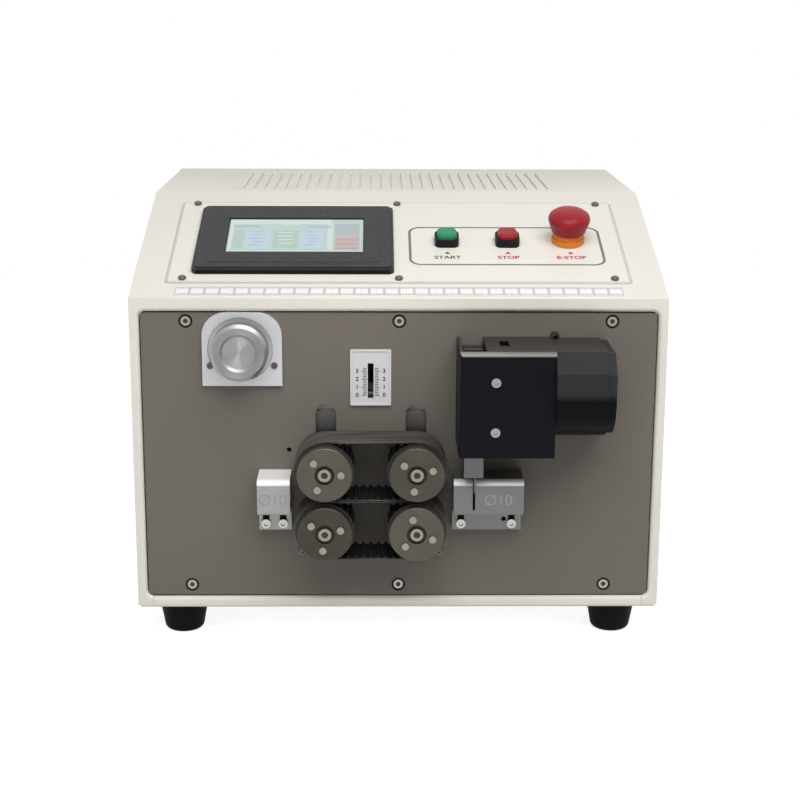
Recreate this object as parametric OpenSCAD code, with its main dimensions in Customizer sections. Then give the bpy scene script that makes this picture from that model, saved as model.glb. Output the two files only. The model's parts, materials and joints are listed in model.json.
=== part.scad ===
// Benchtop tube cutting machine.
// Two toothed feed belts draw soft tube through the guides and a driven blade shears it.
// X runs along the tube, Y runs into the machine and Z is up. The feet stand on z = 0.

/* [Case] */
// Width of the case
case_w = 360; // [350:1:420]
// Depth of the case
case_d = 334; // [325:1:400]
// Height of the upright front
front_h = 216; // [214:1:240]
// Height of the flat top
top_h = 267; // [262:1:290]
// Depth of the sloping control face
slope_d = 162; // [158:1:175]
// Thickness of the sheet metal
sheet = 1.5; // [1:0.1:2]
// Width of the rim beside and under the front panel
rim_w = 6.5; // [5.5:0.5:8]
// Width of the rim above the front panel
rim_top = 9; // [8:0.5:10]
// Radius of the rounded front edge of the opening
edge_r = 3; // [1:0.5:3]
// Corner radius of the front opening
opening_r = 4.5; // [3:0.5:6]
// Depth of the folded edge round the front opening
return_d = 8; // [7.5:0.5:10]
// Height of the upturned walls of the base tray
tray_wall = 25; // [15:1:30]
// Width of the rim round the rear opening
rear_rim = 12; // [8:1:16]

/* [Vents] */
// Number of slots in the top
vent_count = 30; // [10:1:34]
// Distance between slots
vent_pitch = 8; // [6:0.5:9]
// Width of a slot
vent_w = 2; // [1.5:0.1:3]
// Length of a slot
vent_l = 118; // [60:1:130]

/* [Feet] */
// Height of a foot
foot_h = 23.5; // [18:0.5:30]
// Radius of a foot at the case
foot_r = 17.5; // [15:0.5:19]
// Radius of a foot at the floor
foot_tip_r = 14; // [11:0.5:14.5]
// Distance of a foot from the side of the case
foot_side = 29; // [20:1:45]
// Distance of a foot from the front and back of the case
foot_end = 25; // [20:1:45]

/* [Front panel] */
// Thickness of the front panel
panel_t = 5; // [4:0.5:6]
// Gap between the panel and its opening
panel_gap = 0.9; // [0.6:0.1:2]
// Distance of the panel face behind the rim
panel_in = 2; // [1:0.1:2.5]
// Distance of the outer panel screws from the middle
screw_x = 142.5; // [130:0.5:150]
// Distance of the lower panel screws from the panel edge
screw_edge = 7.3; // [6:0.1:8]
// Distance of the upper panel screws below the fold of the case
screw_drop = 15.7; // [15:0.1:17]
// Radius of a panel screw head
screw_head_r = 3.2; // [2.8:0.1:3.4]
// Height of the bars that hold the panel
rail_h = 11; // [10:0.5:12]
// Depth of the bars that hold the panel
rail_d = 12; // [8:0.5:13]

/* [Feed belts] */
// Middle of the feed unit
feed_x = -18.9; // [-24:0.1:-18]
// Height of the tube above the case bottom
nip_z = 84.75; // [82:0.25:88]
// Pitch of the belt teeth
belt_pitch = 5.08; // [4.9:0.01:5.2]
// Teeth on a pulley
pulley_teeth = 24; // [22:2:24]
// Teeth on a belt
belt_teeth = 48; // [46:2:48]
// Width of a belt
belt_w = 30; // [24:0.1:30.5]
// Distance of the belt front edge from the rim
belt_reach = 30.3; // [30:0.1:32]
// Height of a belt tooth
tooth_h = 1.27; // [1.1:0.01:1.4]
// Width of a belt tooth at its tip
tooth_tip = 1.38; // [1.2:0.01:1.5]
// Width of a belt tooth at its root
tooth_root = 2.57; // [2.4:0.01:2.7]
// Depth of the pitch line under the tooth roots
pitch_offset = 0.254; // [0.2:0.01:0.3]
// Thickness of belt outside the pitch line
belt_back = 0.78; // [0.7:0.01:0.9]
// Gap between the two closed belts
nip_gap = 0.5; // [0.4:0.1:1]
// Running gap between belt and pulley
mesh_gap = 0.12; // [0.1:0.01:0.2]

/* [Rollers] */
// Radius of a roller shaft
shaft_r = 6; // [5:0.5:6]
// Radius of the thin end of a driven shaft
drive_r = 4; // [3:0.5:4]
// Radius of a cap disc
cap_r = 18.4; // [18:0.1:18.6]
// Thickness of a cap disc
cap_t = 6.5; // [4:0.5:7]
// Radius of the ring of small cap screws
cap_screw_ring = 10.9; // [10.8:0.1:12]
// Outer radius of a bearing
bearing_r = 12; // [11:0.5:12]
// Width of a bearing
bearing_w = 8; // [6:0.5:8]
// Running gap between shaft and bearing
shaft_gap = 0.05; // [0.02:0.01:0.08]

/* [Roller lift] */
// Travel of the upper feed unit
lift_max = 10; // [6:1:10]
// Width of the shaft slots in the panel
slot_w = 14; // [13.5:0.5:15]
// Height of the slot above the closed roller axis
slot_rise = 38; // [34:1:40]
// Width of the bearing housings
housing_w = 94; // [92:1:96]
// Depth of the bearing housings
housing_d = 30; // [28:1:32]
// Radius of a lift rod
rod_r = 5; // [4:0.5:5]
// Distance between the lift rods
rod_pitch = 24; // [20:1:24]
// Gap between the lift carriage and the panel
slide_gap = 0.4; // [0.3:0.1:0.8]

/* [Gears] */
// Size of the gear teeth, pitch diameter over number of teeth
gear_module = 1.25; // [1.2:0.05:1.3]
// Teeth on a pinion
gear_teeth = 18; // [17:1:18]
// Width of a pinion
gear_w = 7; // [5:0.5:8]
// Play between gear and rack teeth
backlash = 0.2; // [0.15:0.01:0.3]

/* [Gap knob] */
// Sideways place of the knob
knob_x = -106.2; // [-108:0.2:-104]
// Height of the knob
knob_z = 181.6; // [180:0.2:183]
// Radius of the knob
knob_r = 19.25; // [17:0.25:20]
// Length of the knob
knob_l = 12.5; // [11:0.5:16]
// Width of the knob bracket
bracket_w = 53.5; // [50:0.5:56]
// Height of the knob bracket
bracket_h = 50; // [46:0.5:50]
// Distance of the middle of the bracket from the knob
bracket_shift = 1.2; // [0:0.1:2]
// Thickness of the knob bracket
bracket_t = 3; // [2:0.5:4]
// Radius of the knob spindle
spindle_r = 4; // [3:0.5:5]

/* [Gap scale] */
// Width of the scale plate
scale_w = 27.6; // [26:0.2:32]
// Height of the scale plate
scale_h = 38.6; // [36:0.2:42]
// Width of the scale slot
scale_slot = 3.9; // [3.6:0.1:5]
// Height of the scale slot
scale_slot_h = 24; // [18:0.5:26]
// Height of the middle of the scale plate
scale_z = 162; // [161:0.2:165]
// Distance of the slot middle below the middle of the scale
scale_drop = 2.3; // [0:0.1:4]

/* [Tube guides] */
// Radius of the tube bore
bore_r = 5; // [3:0.25:5.5]
// Length of the inlet guide
inlet_w = 22; // [18:0.5:26]
// Gap from feed unit middle to the inlet guide
inlet_gap = 54; // [52:0.5:58]
// Length of the outlet guide
outlet_w = 47; // [44:0.5:50]
// Gap from feed unit middle to the outlet guide
outlet_gap = 55.3; // [53:0.1:56]
// Reach of a guide in front of the rim
guide_reach = 25; // [24.5:0.1:26]
// Height of a guide block
guide_h = 24.2; // [22:0.2:25]
// Depth of a guide flange
flange_d = 8; // [6:0.5:10]
// Height of a guide flange
flange_h = 16.2; // [14:0.1:18]

/* [Cutter] */
// Distance of the blade from the feed unit middle
blade_gap = 68.9; // [68:0.1:70]
// Thickness of the blade
blade_t = 1; // [0.6:0.1:1.2]
// Play of the blade in its slot, each side
blade_play = 0.35; // [0.3:0.05:0.5]
// Travel of the blade
stroke = 13; // [12.5:0.1:13]
// Width of the blade slide
slide_w = 13; // [12:0.2:13.4]
// Distance of the blade from the left side of its slide
slide_side = 7.7; // [6:0.1:8]
// Reach of the cutter cover in front of the rim
cover_reach = 50; // [49.5:0.5:54]
// Height of the underside of the cutter cover
cover_z = 120; // [118:0.5:122]
// Height of the cutter cover
cover_h = 70; // [69:0.5:73]
// Width of the cutter cover
cover_w = 62; // [60:0.5:66]
// Size of the square cutter motor
motor_size = 58; // [55:0.2:58.4]
// Length of the cutter motor
motor_l = 38.5; // [36:0.5:44]
// Height of the cutter motor axis
motor_z = 160.5; // [160:0.1:163]

/* [Controls] */
// Width of the control plate
control_w = 314; // [300:1:320]
// Height of the control plate
control_h = 128; // [120:1:130]
// Thickness of the control plate
control_t = 1; // [0.6:0.1:1.5]
// Length of the ruler
ruler_l = 300; // [280:10:310]
// Width of the ruler
ruler_w = 12; // [10:0.5:14]
// Width of the touch panel
touch_w = 138; // [132:1:140]
// Height of the touch panel
touch_h = 102; // [100:1:104]
// Depth of the touch panel behind the plate
touch_d = 34; // [24:1:36]
// Width of the screen glass
glass_w = 96.5; // [94:0.5:104]
// Height of the screen glass
glass_h = 54.5; // [52:0.5:64]
// Size of a square push button
button_size = 17; // [16:0.5:20]
// Height of a push button bezel
button_rim = 5.5; // [4:0.5:7]
// Height of a push button cap over its bezel
button_proud = 3.5; // [3:0.5:5]
// Travel of a push button
button_travel = 2.5; // [1.5:0.5:3]
// Radius of the emergency button head
stop_r = 14.8; // [13:0.1:16]
// Length of the emergency button behind the case
stop_barrel_l = 34; // [28:1:38]
// Travel of the emergency button
stop_travel = 4; // [3:0.5:4.5]

/* [Rear] */
// Width of the power inlet
inlet_flange_w = 32; // [30:1:40]
// Height of the power inlet
inlet_flange_h = 60; // [58:1:70]
// Sideways place of the power inlet
power_x = 110; // [90:1:120]
// Height of the power inlet above the case bottom
power_z = 62; // [55:1:80]
// Depth of the power inlet behind the rear panel
inlet_depth = 22; // [20:1:30]

/* [Hidden] */

$fn = 48;
cut = 1;
fit = 0.02;

slope_a = atan2(top_h - front_h, slope_d);
half_w = case_w / 2;
opening_w = case_w - 2 * rim_w;
opening_top = front_h - rim_top;
opening_h = opening_top - rim_w;
return_t = 1.2;
lip_half = opening_w / 2 - opening_r + 0.5;
inner_half = half_w - sheet;

panel_w = opening_w - 2 * panel_gap;
panel_h = opening_h - 2 * panel_gap;
panel_z = rim_w + panel_gap;
panel_top = panel_z + panel_h;
panel_back = panel_in + panel_t;
screw_rows = [panel_z + screw_edge, front_h - screw_drop];
screw_hole_r = 2.1;
head_play = 1.5;
head_sink = 2.2;
thread_r = 2;

pitch_r = pulley_teeth * belt_pitch / (2 * PI);
pulley_r = pitch_r - pitch_offset;
centre_d = (belt_teeth - pulley_teeth) * belt_pitch / 2;
back_r = pitch_r + belt_back;
lower_z = nip_z - nip_gap / 2 - back_r;
upper_z = nip_z + nip_gap / 2 + back_r;
left_x = feed_x - centre_d / 2;
right_x = feed_x + centre_d / 2;
straight_teeth = (belt_teeth - pulley_teeth) / 2 - 1;
arc_teeth = pulley_teeth / 2;
tooth_base = 0.3;
belt_rear = belt_reach - belt_w;
pulley_over = 2.5;
rim_t = 1.4;
rim_r = back_r - 0.6;
pulley_front = belt_reach + pulley_over;
pulley_rear = belt_rear - 0.6;
cap_front = pulley_front + cap_t;
centre_bore_r = 6.5;
centre_head_r = 4.3;
cap_head_r = 2.5;
cap_head_h = 1.6;

housing_back = panel_back + housing_d;
pilot_r = 19;
pilot_h = 1.6;
carriage_front = panel_back + slide_gap;
carriage_back = housing_back + slide_gap;
slab_t = 7.6;
slab_step = 3.4;
housing_low = lower_z - bearing_r - 6;
housing_top = lower_z + bearing_r + 2.7;
carriage_low = upper_z - bearing_r - 3.2;
carriage_top = upper_z + bearing_r + 4.8;
slab_top = upper_z + 32;
rod_y = panel_back + 22;
rod_block_low = carriage_top + lift_max + 2;
rod_block_h = 16;
rod_seat = 13;
rod_low = housing_top - rod_seat;
rod_top = rod_block_low + rod_seat;
feed_motor_size = 56.4;
feed_motor_l = 56;
motor_bore = 18;

gear_r = gear_module * gear_teeth / 2;
rack_pitch = PI * gear_module;
gear_y = panel_back + 13.5;
rack_x = knob_x + gear_r;
rack_teeth = 9;
rack_back = 8;
rack_arm_low = carriage_top - 12;
bracket_front = panel_in - bracket_t;
knob_rear = bracket_front - 1;
knob_front = knob_rear - knob_l;

scale_t = 1;
scale_rim = 0.5;
scale_x = feed_x - 0.2;
slot_z = scale_z - scale_drop;
pointer_z = slot_z - scale_slot_h / 2 + 3;
pointer_w = scale_slot - 0.9;
pointer_t = 1.2;

guide_top = nip_z + 12.85;
guide_low = guide_top - guide_h;
flange_low = guide_low - flange_h;
bore_y = -(belt_reach + belt_rear) / 2;
inlet_right = feed_x - inlet_gap;
inlet_left = inlet_right - inlet_w;
outlet_left = feed_x + outlet_gap;
outlet_right = outlet_left + outlet_w;
guide_edge = 4.2;
guide_slot_w = 4.4;
guide_slot_h = 9;
guide_screw_z = flange_low + 4.6;

blade_x = feed_x + blade_gap;
slide_left = blade_x - slide_side;
slide_right = slide_left + slide_w;
channel_left = slide_left - 1.9;
channel_right = slide_right + 0.7;
cover_t = 2;
cover_left = channel_left - cover_t;
cover_right = cover_left + cover_w;
cover_top = cover_z + cover_h;
cover_bend = 3.2;
cover_fold = 2;
motor_y = -(motor_size / 2 - panel_in + 0.4);
motor_front = motor_y - motor_size / 2;
stud_x = cover_right + 3.6;
stud_z = cover_top + 0.6;
stud_reach = 6;
pinion_x = slide_left + 2.5;
rack_y = motor_y + gear_r;
slide_bar_t = 12;
slide_top = cover_top - 5;
holder_front = -(guide_reach + 11);
holder_back = -(guide_reach + 1);
holder_low = nip_z + 17.8;
web_low = guide_top + stroke + 3;
web_high = web_low + 8;
blade_tip = nip_z + bore_r + 1.9;
blade_low_slot = nip_z - bore_r - 3;
tongue_w = 5;
tongue_d = 10;
tongue_y = rack_y + 2.5;

touch_x = -72.2;
touch_s = 84.2;
window_s = 0.5;
start_x = 34.3;
stop_x = 77;
button_s = 82.8;
emergency_x = 120.2;
emergency_s = 84.8;
control_s = 86.5;
ruler_s = 9.2;
barrel_r = 8;
stop_barrel_r = 11;
stop_collar_r = 10.2;
stop_ring_r = 11.6;
stop_ring_h = 3.6;
plunger_r = 5;
cap_w = button_size - 3.4;
cap_play = 0.25;
mat_t = 3;
hole_play = 0.2;

rear_in = case_d - sheet;
power_proud = 2;
rear_reach = case_d + power_proud;
rocker_tilt = 8;
rocker_z = power_z + 15;
socket_z = power_z - 13;

base_z = foot_h + sheet;
front_y = -(rear_reach + motor_front) / 2;

// Moves the case frame, whose origin is at the foot of the front rim, to the part frame
module at_case() {
    translate([0, front_y, base_z]) children();
}

// Places a shape on the sloping face, with its own Z out of the face
module on_slope(x, s) {
    translate([x, s * cos(slope_a), front_h + s * sin(slope_a)])
        rotate([slope_a, 0, 0])
            children();
}

// Flat plate drawn as seen from the front, from depth y to y + t
module facing(y, t) {
    translate([0, y + t, 0]) rotate([90, 0, 0]) linear_extrude(t) children();
}

// Round bar along Y, starting at depth y
module bar_y(x, y, z, l, r) {
    translate([x, y, z]) rotate([-90, 0, 0]) cylinder(h = l, r = r);
}

// Round bar along X, starting at x
module bar_x(x, y, z, l, r) {
    translate([x, y, z]) rotate([0, 90, 0]) cylinder(h = l, r = r);
}

// Rectangle with round corners
module rounded(w, h, r) {
    square([w - 2 * r, h], center = true);
    square([w, h - 2 * r], center = true);
    for (i = [-1, 1], j = [-1, 1])
        translate([i * (w / 2 - r), j * (h / 2 - r)]) circle(r);
}

// Side outline of the case, moved inwards by inset
function profile(inset) = let (lean = inset / cos(slope_a) - inset) [
    [inset, inset],
    [inset, front_h + inset * tan(slope_a) - inset / cos(slope_a)],
    [slope_d + lean / tan(slope_a), top_h - inset],
    [case_d - inset, top_h - inset],
    [case_d - inset, inset]];

module prism(inset, w) {
    translate([-w / 2, 0, 0]) rotate([90, 0, 90]) linear_extrude(w) polygon(profile(inset));
}

module opening(grow = 0) {
    translate([0, rim_w + opening_h / 2])
        rounded(opening_w + 2 * grow, opening_h + 2 * grow, opening_r + grow);
}

// Folded cover: sides, sloping face and top in one wrap
module cover() {
    color("ivory") at_case() difference() {
        union() {
            difference() {
                prism(0, case_w);
                prism(sheet, case_w - 2 * sheet);
            }
            facing(0, return_d) difference() {
                opening(return_t);
                opening();
            }
        }
        facing(-cut, return_d + 2 * cut) opening();
        opening_edge();
        translate([-inner_half, sheet, -cut]) cube([2 * inner_half, case_d, sheet + cut + fit]);
        translate([-lip_half, -cut, -cut]) cube([2 * lip_half, return_d + 2 * cut, rim_w + cut]);
        translate([-half_w + rear_rim, case_d - 2 * sheet, -cut])
            cube([case_w - 2 * rear_rim, 3 * sheet, top_h - rear_rim + cut]);
        top_vents();
        on_slope(0, 0) control_cutouts(sheet + 2 * cut, -sheet - cut);
    }
}

// What the round takes off a sharp edge: the edge lies at the origin
module edge_waste() {
    difference() {
        translate([-0.5, -0.5]) square(edge_r + 0.5);
        translate([edge_r, edge_r]) circle(edge_r);
    }
}

// Round along the front edge of the opening: its corners, its sides and its top
module opening_edge() {
    corner_x = opening_w / 2 - opening_r;
    low = rim_w + opening_r;
    high = opening_top - opening_r;
    for (side = [0, 1], up = [0, 1])
        mirror([side, 0, 0]) translate([corner_x, 0, up ? high : low]) mirror([0, 0, 1 - up])
            intersection() {
                rotate([-90, 0, 0]) rotate_extrude() translate([opening_r, 0]) edge_waste();
                translate([0, -cut, 0]) cube([opening_r + edge_r + cut, edge_r + 2 * cut, opening_r + edge_r + cut]);
            }
    for (side = [0, 1])
        mirror([side, 0, 0]) translate([opening_w / 2, 0, low]) linear_extrude(high - low) edge_waste();
    translate([-corner_x, 0, opening_top]) rotate([90, 0, 90]) linear_extrude(2 * corner_x)
        mirror([1, -1]) edge_waste();
}

module top_vents() {
    vent_y = (slope_d + case_d) / 2 - vent_l / 2;
    for (i = [0 : vent_count - 1])
        translate([(i - (vent_count - 1) / 2) * vent_pitch - vent_w / 2, vent_y, top_h - 2 * sheet])
            cube([vent_w, vent_l, 3 * sheet]);
}

// Pale filter mat under the slots in the top
module vent_mat() {
    w = vent_count * vent_pitch + 6;
    color("#e6e2d8") at_case()
        translate([-w / 2, (slope_d + case_d) / 2 - vent_l / 2 - 3, top_h - sheet - mat_t - fit])
            cube([w, vent_l + 6, mat_t]);
}

// Holes for the touch panel and the three buttons, through thickness t above height z
module control_cutouts(t, z) {
    translate([touch_x, touch_s, z]) linear_extrude(t) square([touch_w - 6.8, touch_h - 6.8], center = true);
    for (x = [start_x, stop_x])
        translate([x, button_s, z]) cylinder(h = t, r = barrel_r + hole_play);
    translate([emergency_x, emergency_s, z]) cylinder(h = t, r = stop_barrel_r + hole_play);
}

// Bottom sheet with upturned sides and the lip under the front panel
module base_tray() {
    wall_x = inner_half - 0.2 - sheet;
    wall_y = return_d + rail_d + 1.5;
    color("ivory") at_case() {
        translate([-half_w + sheet, sheet, -sheet]) cube([case_w - 2 * sheet, case_d - 2 * sheet, sheet]);
        for (side = [-1, 1])
            translate([side * (wall_x + sheet / 2) - sheet / 2, wall_y, -sheet])
                cube([sheet, case_d - wall_y - return_d, tray_wall + sheet]);
        translate([-lip_half + 0.2, 0, 0]) rotate([90, 0, 90]) linear_extrude(2 * lip_half - 0.4) difference() {
            lip_outline(0);
            lip_outline(sheet);
        }
    }
}

// Side outline of the rounded lip, moved inwards by inset
module lip_outline(inset) {
    lip_r = 3;
    top = rim_w - 0.2 - inset;
    translate([lip_r, inset - (inset > 0 ? cut : 0)])
        square([return_d - lip_r + (inset > 0 ? cut : 0), top - inset + (inset > 0 ? cut : 0)]);
    translate([inset, inset - (inset > 0 ? cut : 0)])
        square([lip_r - inset + fit, rim_w - 0.2 - lip_r - inset + (inset > 0 ? cut : 0)]);
    translate([lip_r, rim_w - 0.2 - lip_r]) circle(lip_r - inset);
}

// Rear sheet with two fields of slots and the power inlet cut-out
module rear_panel() {
    slot_l = 46;
    color("ivory") at_case() difference() {
        translate([-inner_half + 0.2, rear_in - sheet, 0.2])
            cube([2 * inner_half - 0.4, sheet, top_h - sheet - 0.4]);
        for (i = [0 : 13], row = [0, 1])
            translate([-120 + i * 9, rear_in - sheet - cut, 110 + row * (slot_l + 12)])
                cube([3, sheet + 2 * cut, slot_l]);
        translate([power_x, rear_in - sheet - cut, power_z])
            translate([-(inlet_flange_w - 5) / 2, 0, -(inlet_flange_h - 5) / 2])
                cube([inlet_flange_w - 5, sheet + 2 * cut, inlet_flange_h - 5]);
    }
}

module feet() {
    round_r = 4.5;
    color("#1b1b1b") translate([0, front_y, 0])
        for (x = [-half_w + foot_side, half_w - foot_side], y = [foot_end, case_d - foot_end])
            translate([x, y, 0]) rotate_extrude() {
                polygon([[0, 0], [foot_tip_r - round_r, 0], [foot_tip_r, round_r], [foot_r, foot_h], [0, foot_h]]);
                intersection() {
                    translate([foot_tip_r - round_r, round_r]) circle(round_r);
                    square([foot_r, foot_h]);
                }
            }
}

// Slot for one upper roller shaft, drawn as seen from the front
module shaft_slot(x) {
    low = upper_z - 1;
    high = upper_z + slot_rise - slot_w / 2;
    translate([x - slot_w / 2, low]) square([slot_w, high - low]);
    translate([x, low]) circle(slot_w / 2);
    translate([x, high]) circle(slot_w / 2);
}

module screw_places() {
    for (x = [-screw_x, 0, screw_x], z = screw_rows) translate([x, 0, z]) children();
}

module front_panel() {
    color("#6b645c") at_case() difference() {
        facing(panel_in, panel_t) difference() {
            translate([0, panel_z + panel_h / 2]) rounded(panel_w, panel_h, opening_r - 1);
            shaft_slot(left_x);
            shaft_slot(right_x);
            translate([scale_x, slot_z]) square([scale_slot + 0.4, scale_slot_h + 0.4], center = true);
        }
        screw_places() {
            bar_y(0, panel_in - cut, 0, panel_t + 2 * cut, screw_hole_r);
            bar_y(0, panel_in - cut, 0, head_sink + cut, screw_head_r + head_play);
        }
        for (x = [left_x, right_x])
            bar_y(x, panel_in - cut, lower_z, panel_t + 2 * cut, shaft_r + 1);
        bar_y(knob_x, panel_in - cut, knob_z, panel_t + 2 * cut, spindle_r + shaft_gap);
        for (x = guide_screw_places()) bar_y(x, panel_in - cut, guide_screw_z, panel_t + 2 * cut, thread_r);
        for (x = lower_screw_places()) bar_y(x, panel_in - cut, lower_screw_z(), panel_t + 2 * cut, thread_r);
        for (side = [-1, 1])
            bar_y(knob_x + bracket_shift + side * bracket_screw_x(), panel_in - cut, knob_z - 11, panel_t + 2 * cut, thread_r);
        bar_y(feed_x - 55.6, panel_in - cut, nip_z + 26.5, panel_t + 2 * cut, 1.7);
        bar_y(stud_x, panel_in - cut, stud_z, panel_t + 2 * cut, thread_r);
    }
}

function bracket_screw_x() = bracket_w / 2 - 5.3;
function guide_screw_places() = [inlet_left + 4.7, inlet_left + 16.3, outlet_left + 6, outlet_right - 6.5];
function lower_screw_places() = [feed_x - 46.8, feed_x + 46.8];
function lower_screw_z() = lower_z - 24.8;

// Two bars across the case that take the panel screws
module panel_rails() {
    low = [panel_z + 0.8, panel_top - rail_h - 0.8];
    color("#b9bcc0") at_case() difference() {
        for (z = low)
            translate([-inner_half + 0.3, return_d + fit, z])
                cube([2 * inner_half - 0.6, rail_d, rail_h]);
        screw_places() bar_y(0, return_d - cut, 0, rail_d, thread_r);
    }
}

// Screw with its head towards the front, head face at depth y
module head_screw(x, y, z, l, head_r, head_h, socket = false) {
    difference() {
        union() {
            bar_y(x, y, z, head_h, head_r);
            bar_y(x, y + head_h, z, l, thread_r - 0.1);
        }
        if (socket)
            translate([x, y - cut, z]) rotate([-90, 0, 0]) cylinder(h = cut + head_h * 0.6, r = head_r * 0.55, $fn = 6);
        else
            translate([x - head_r * 0.7, y - cut, z - 0.4]) cube([head_r * 1.4, cut + head_h * 0.5, 0.8]);
    }
}

// Screws of the front panel, guides, lower plate, bracket and cutter cover
module front_screws() {
    color("silver") at_case() {
        screw_places() head_screw(0, panel_in + head_sink - 2, 0, panel_t + 6, screw_head_r, 2, true);
        for (x = guide_screw_places())
            head_screw(x, panel_in - flange_d - 2, guide_screw_z, flange_d + panel_t, 3.2, 2, true);
        for (x = lower_screw_places())
            head_screw(x, panel_in - plate_t() - 1.5, lower_screw_z(), plate_t() + panel_t, 2.6, 1.5, true);
        for (side = [-1, 1])
            head_screw(knob_x + bracket_shift + side * bracket_screw_x(), bracket_front - 1, knob_z - 11, panel_t + 2, 2.2, 1);
        for (z = cover_screw_rows())
            head_screw(cover_screw_x(), -cover_reach - 1.6, z, 8, 3.1, 1.6, true);
        head_screw(stud_x, panel_in - stud_reach, stud_z, panel_t, screw_head_r, stud_reach, true);
    }
}

function plate_t() = 1.2;
function cover_screw_rows() = [cover_z + 17.5, cover_z + 50.5];
function cover_screw_x() = cover_left + 23.2;

// Plate on the sloping face that carries the controls
module control_plate() {
    color("#efebe1") at_case() on_slope(0, 0) difference() {
        translate([0, control_s, 0]) linear_extrude(control_t) rounded(control_w, control_h, 2);
        control_cutouts(control_t + 2 * cut, -cut);
    }
}

module control_screws() {
    color("silver") at_case() for (x = [-1, 0, 1], row = [-1, 1])
        on_slope(x * (control_w / 2 - 10.5), control_s + row * (control_h / 2 - 4)) {
            translate([0, 0, control_t]) cylinder(h = 1.5, r = 2.7);
            translate([0, 0, control_t + 1.5]) intersection() {
                cylinder(h = 0.6, r = 2);
                translate([0, 0, -1]) sphere(r = 2.4);
            }
        }
}

// Strip of millimetre scale under the control plate
module ruler() {
    color("white") at_case() on_slope(0, ruler_s) linear_extrude(0.8)
        square([ruler_l, ruler_w], center = true);
}

// Moulded touch panel: bezel in front of the plate, housing behind it
module touch_panel() {
    color("#4b4b4d") at_case() on_slope(touch_x, touch_s) difference() {
        union() {
            translate([0, 0, control_t]) linear_extrude(3.4) rounded(touch_w, touch_h, 4);
            translate([0, 0, control_t + 3.4]) linear_extrude(1.6) rounded(touch_w - 4, touch_h - 4, 3);
            translate([0, 0, control_t + 5 - fit]) linear_extrude(0.4 + fit) rounded(touch_w - 20, touch_h - 17, 3);
            translate([0, 0, -touch_d]) linear_extrude(touch_d + control_t)
                square([touch_w - 8, touch_h - 8], center = true);
        }
        translate([0, window_s, control_t + 3.6]) linear_extrude(3) square([glass_w, glass_h], center = true);
        for (i = [-4 : 4])
            translate([i * 12 - 3, -30, -touch_d - cut]) cube([6, 60, 3 + cut]);
    }
}

module touch_screen() {
    color("#cfd8d2") at_case() on_slope(touch_x, touch_s + window_s)
        translate([0, 0, control_t + 3.6]) linear_extrude(0.8)
            square([glass_w - 0.4, glass_h - 0.4], center = true);
}

// Bezels and barrels of the start and stop buttons
module button_housings() {
    well = cap_w + 2 * cap_play;
    color("#232323") at_case() for (x = [start_x, stop_x]) on_slope(x, button_s) difference() {
        union() {
            translate([0, 0, control_t]) linear_extrude(button_rim)
                rounded(button_size, button_size, button_size / 4);
            translate([0, 0, -22]) cylinder(h = 22 + control_t, r = barrel_r);
            translate([0, 0, -sheet - 5]) cylinder(h = 5, r = barrel_r + 3);
        }
        translate([0, 0, control_t + 1.4]) linear_extrude(button_rim) rounded(well, well, 3.6 + cap_play);
        translate([0, 0, -13]) cylinder(h = 16, r = plunger_r + 0.3);
    }
}

// Square cap on a round plunger. It stays clear of the floor of its bezel when pressed
module button_cap(x) {
    low = control_t + 1.6 + button_travel;
    high = control_t + button_rim + button_proud;
    at_case() on_slope(x, button_s) {
        translate([0, 0, low]) linear_extrude(high - low - 1) rounded(cap_w, cap_w, 3.6);
        translate([0, 0, high - 1 - fit]) linear_extrude(1 + fit) rounded(cap_w - 1.6, cap_w - 1.6, 2.8);
        translate([0, 0, -9]) cylinder(h = low + 9 + fit, r = plunger_r);
    }
}

module start_button() {
    color("#1f8a4c") button_cap(start_x);
}

module stop_button() {
    color("#b3202c") button_cap(stop_x);
}

// Ring and barrel of the emergency button
module emergency_collar() {
    color("#e08a2e") at_case() on_slope(emergency_x, emergency_s) difference() {
        union() {
            translate([0, 0, control_t]) cylinder(h = stop_ring_h, r = stop_ring_r);
            translate([0, 0, control_t]) cylinder(h = 11, r = stop_collar_r);
            translate([0, 0, -stop_barrel_l]) cylinder(h = stop_barrel_l + control_t, r = stop_barrel_r);
            translate([0, 0, -sheet - 5]) cylinder(h = 5, r = stop_barrel_r + 3.5);
        }
        translate([0, 0, -12]) cylinder(h = 40, r = 7.3);
    }
}

// Mushroom head that hides the collar and slides over it
module emergency_button() {
    skirt = control_t + stop_ring_h + stop_travel + 0.2;
    color("#c8202a") at_case() on_slope(emergency_x, emergency_s) {
        difference() {
            rotate_extrude() polygon([[0, skirt], [stop_ring_r, skirt], [stop_r - 0.3, skirt + 8.2],
                [stop_r, skirt + 10.2], [stop_r - 0.8, skirt + 12.8], [stop_r - 3.8, skirt + 15],
                [stop_r - 8.8, skirt + 16], [0, skirt + 16.2]]);
            translate([0, 0, skirt - cut]) cylinder(h = cut + 8, r = stop_collar_r + 0.4);
        }
        translate([0, 0, -4]) cylinder(h = 4 + skirt + 9, r = 7);
    }
}

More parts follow.
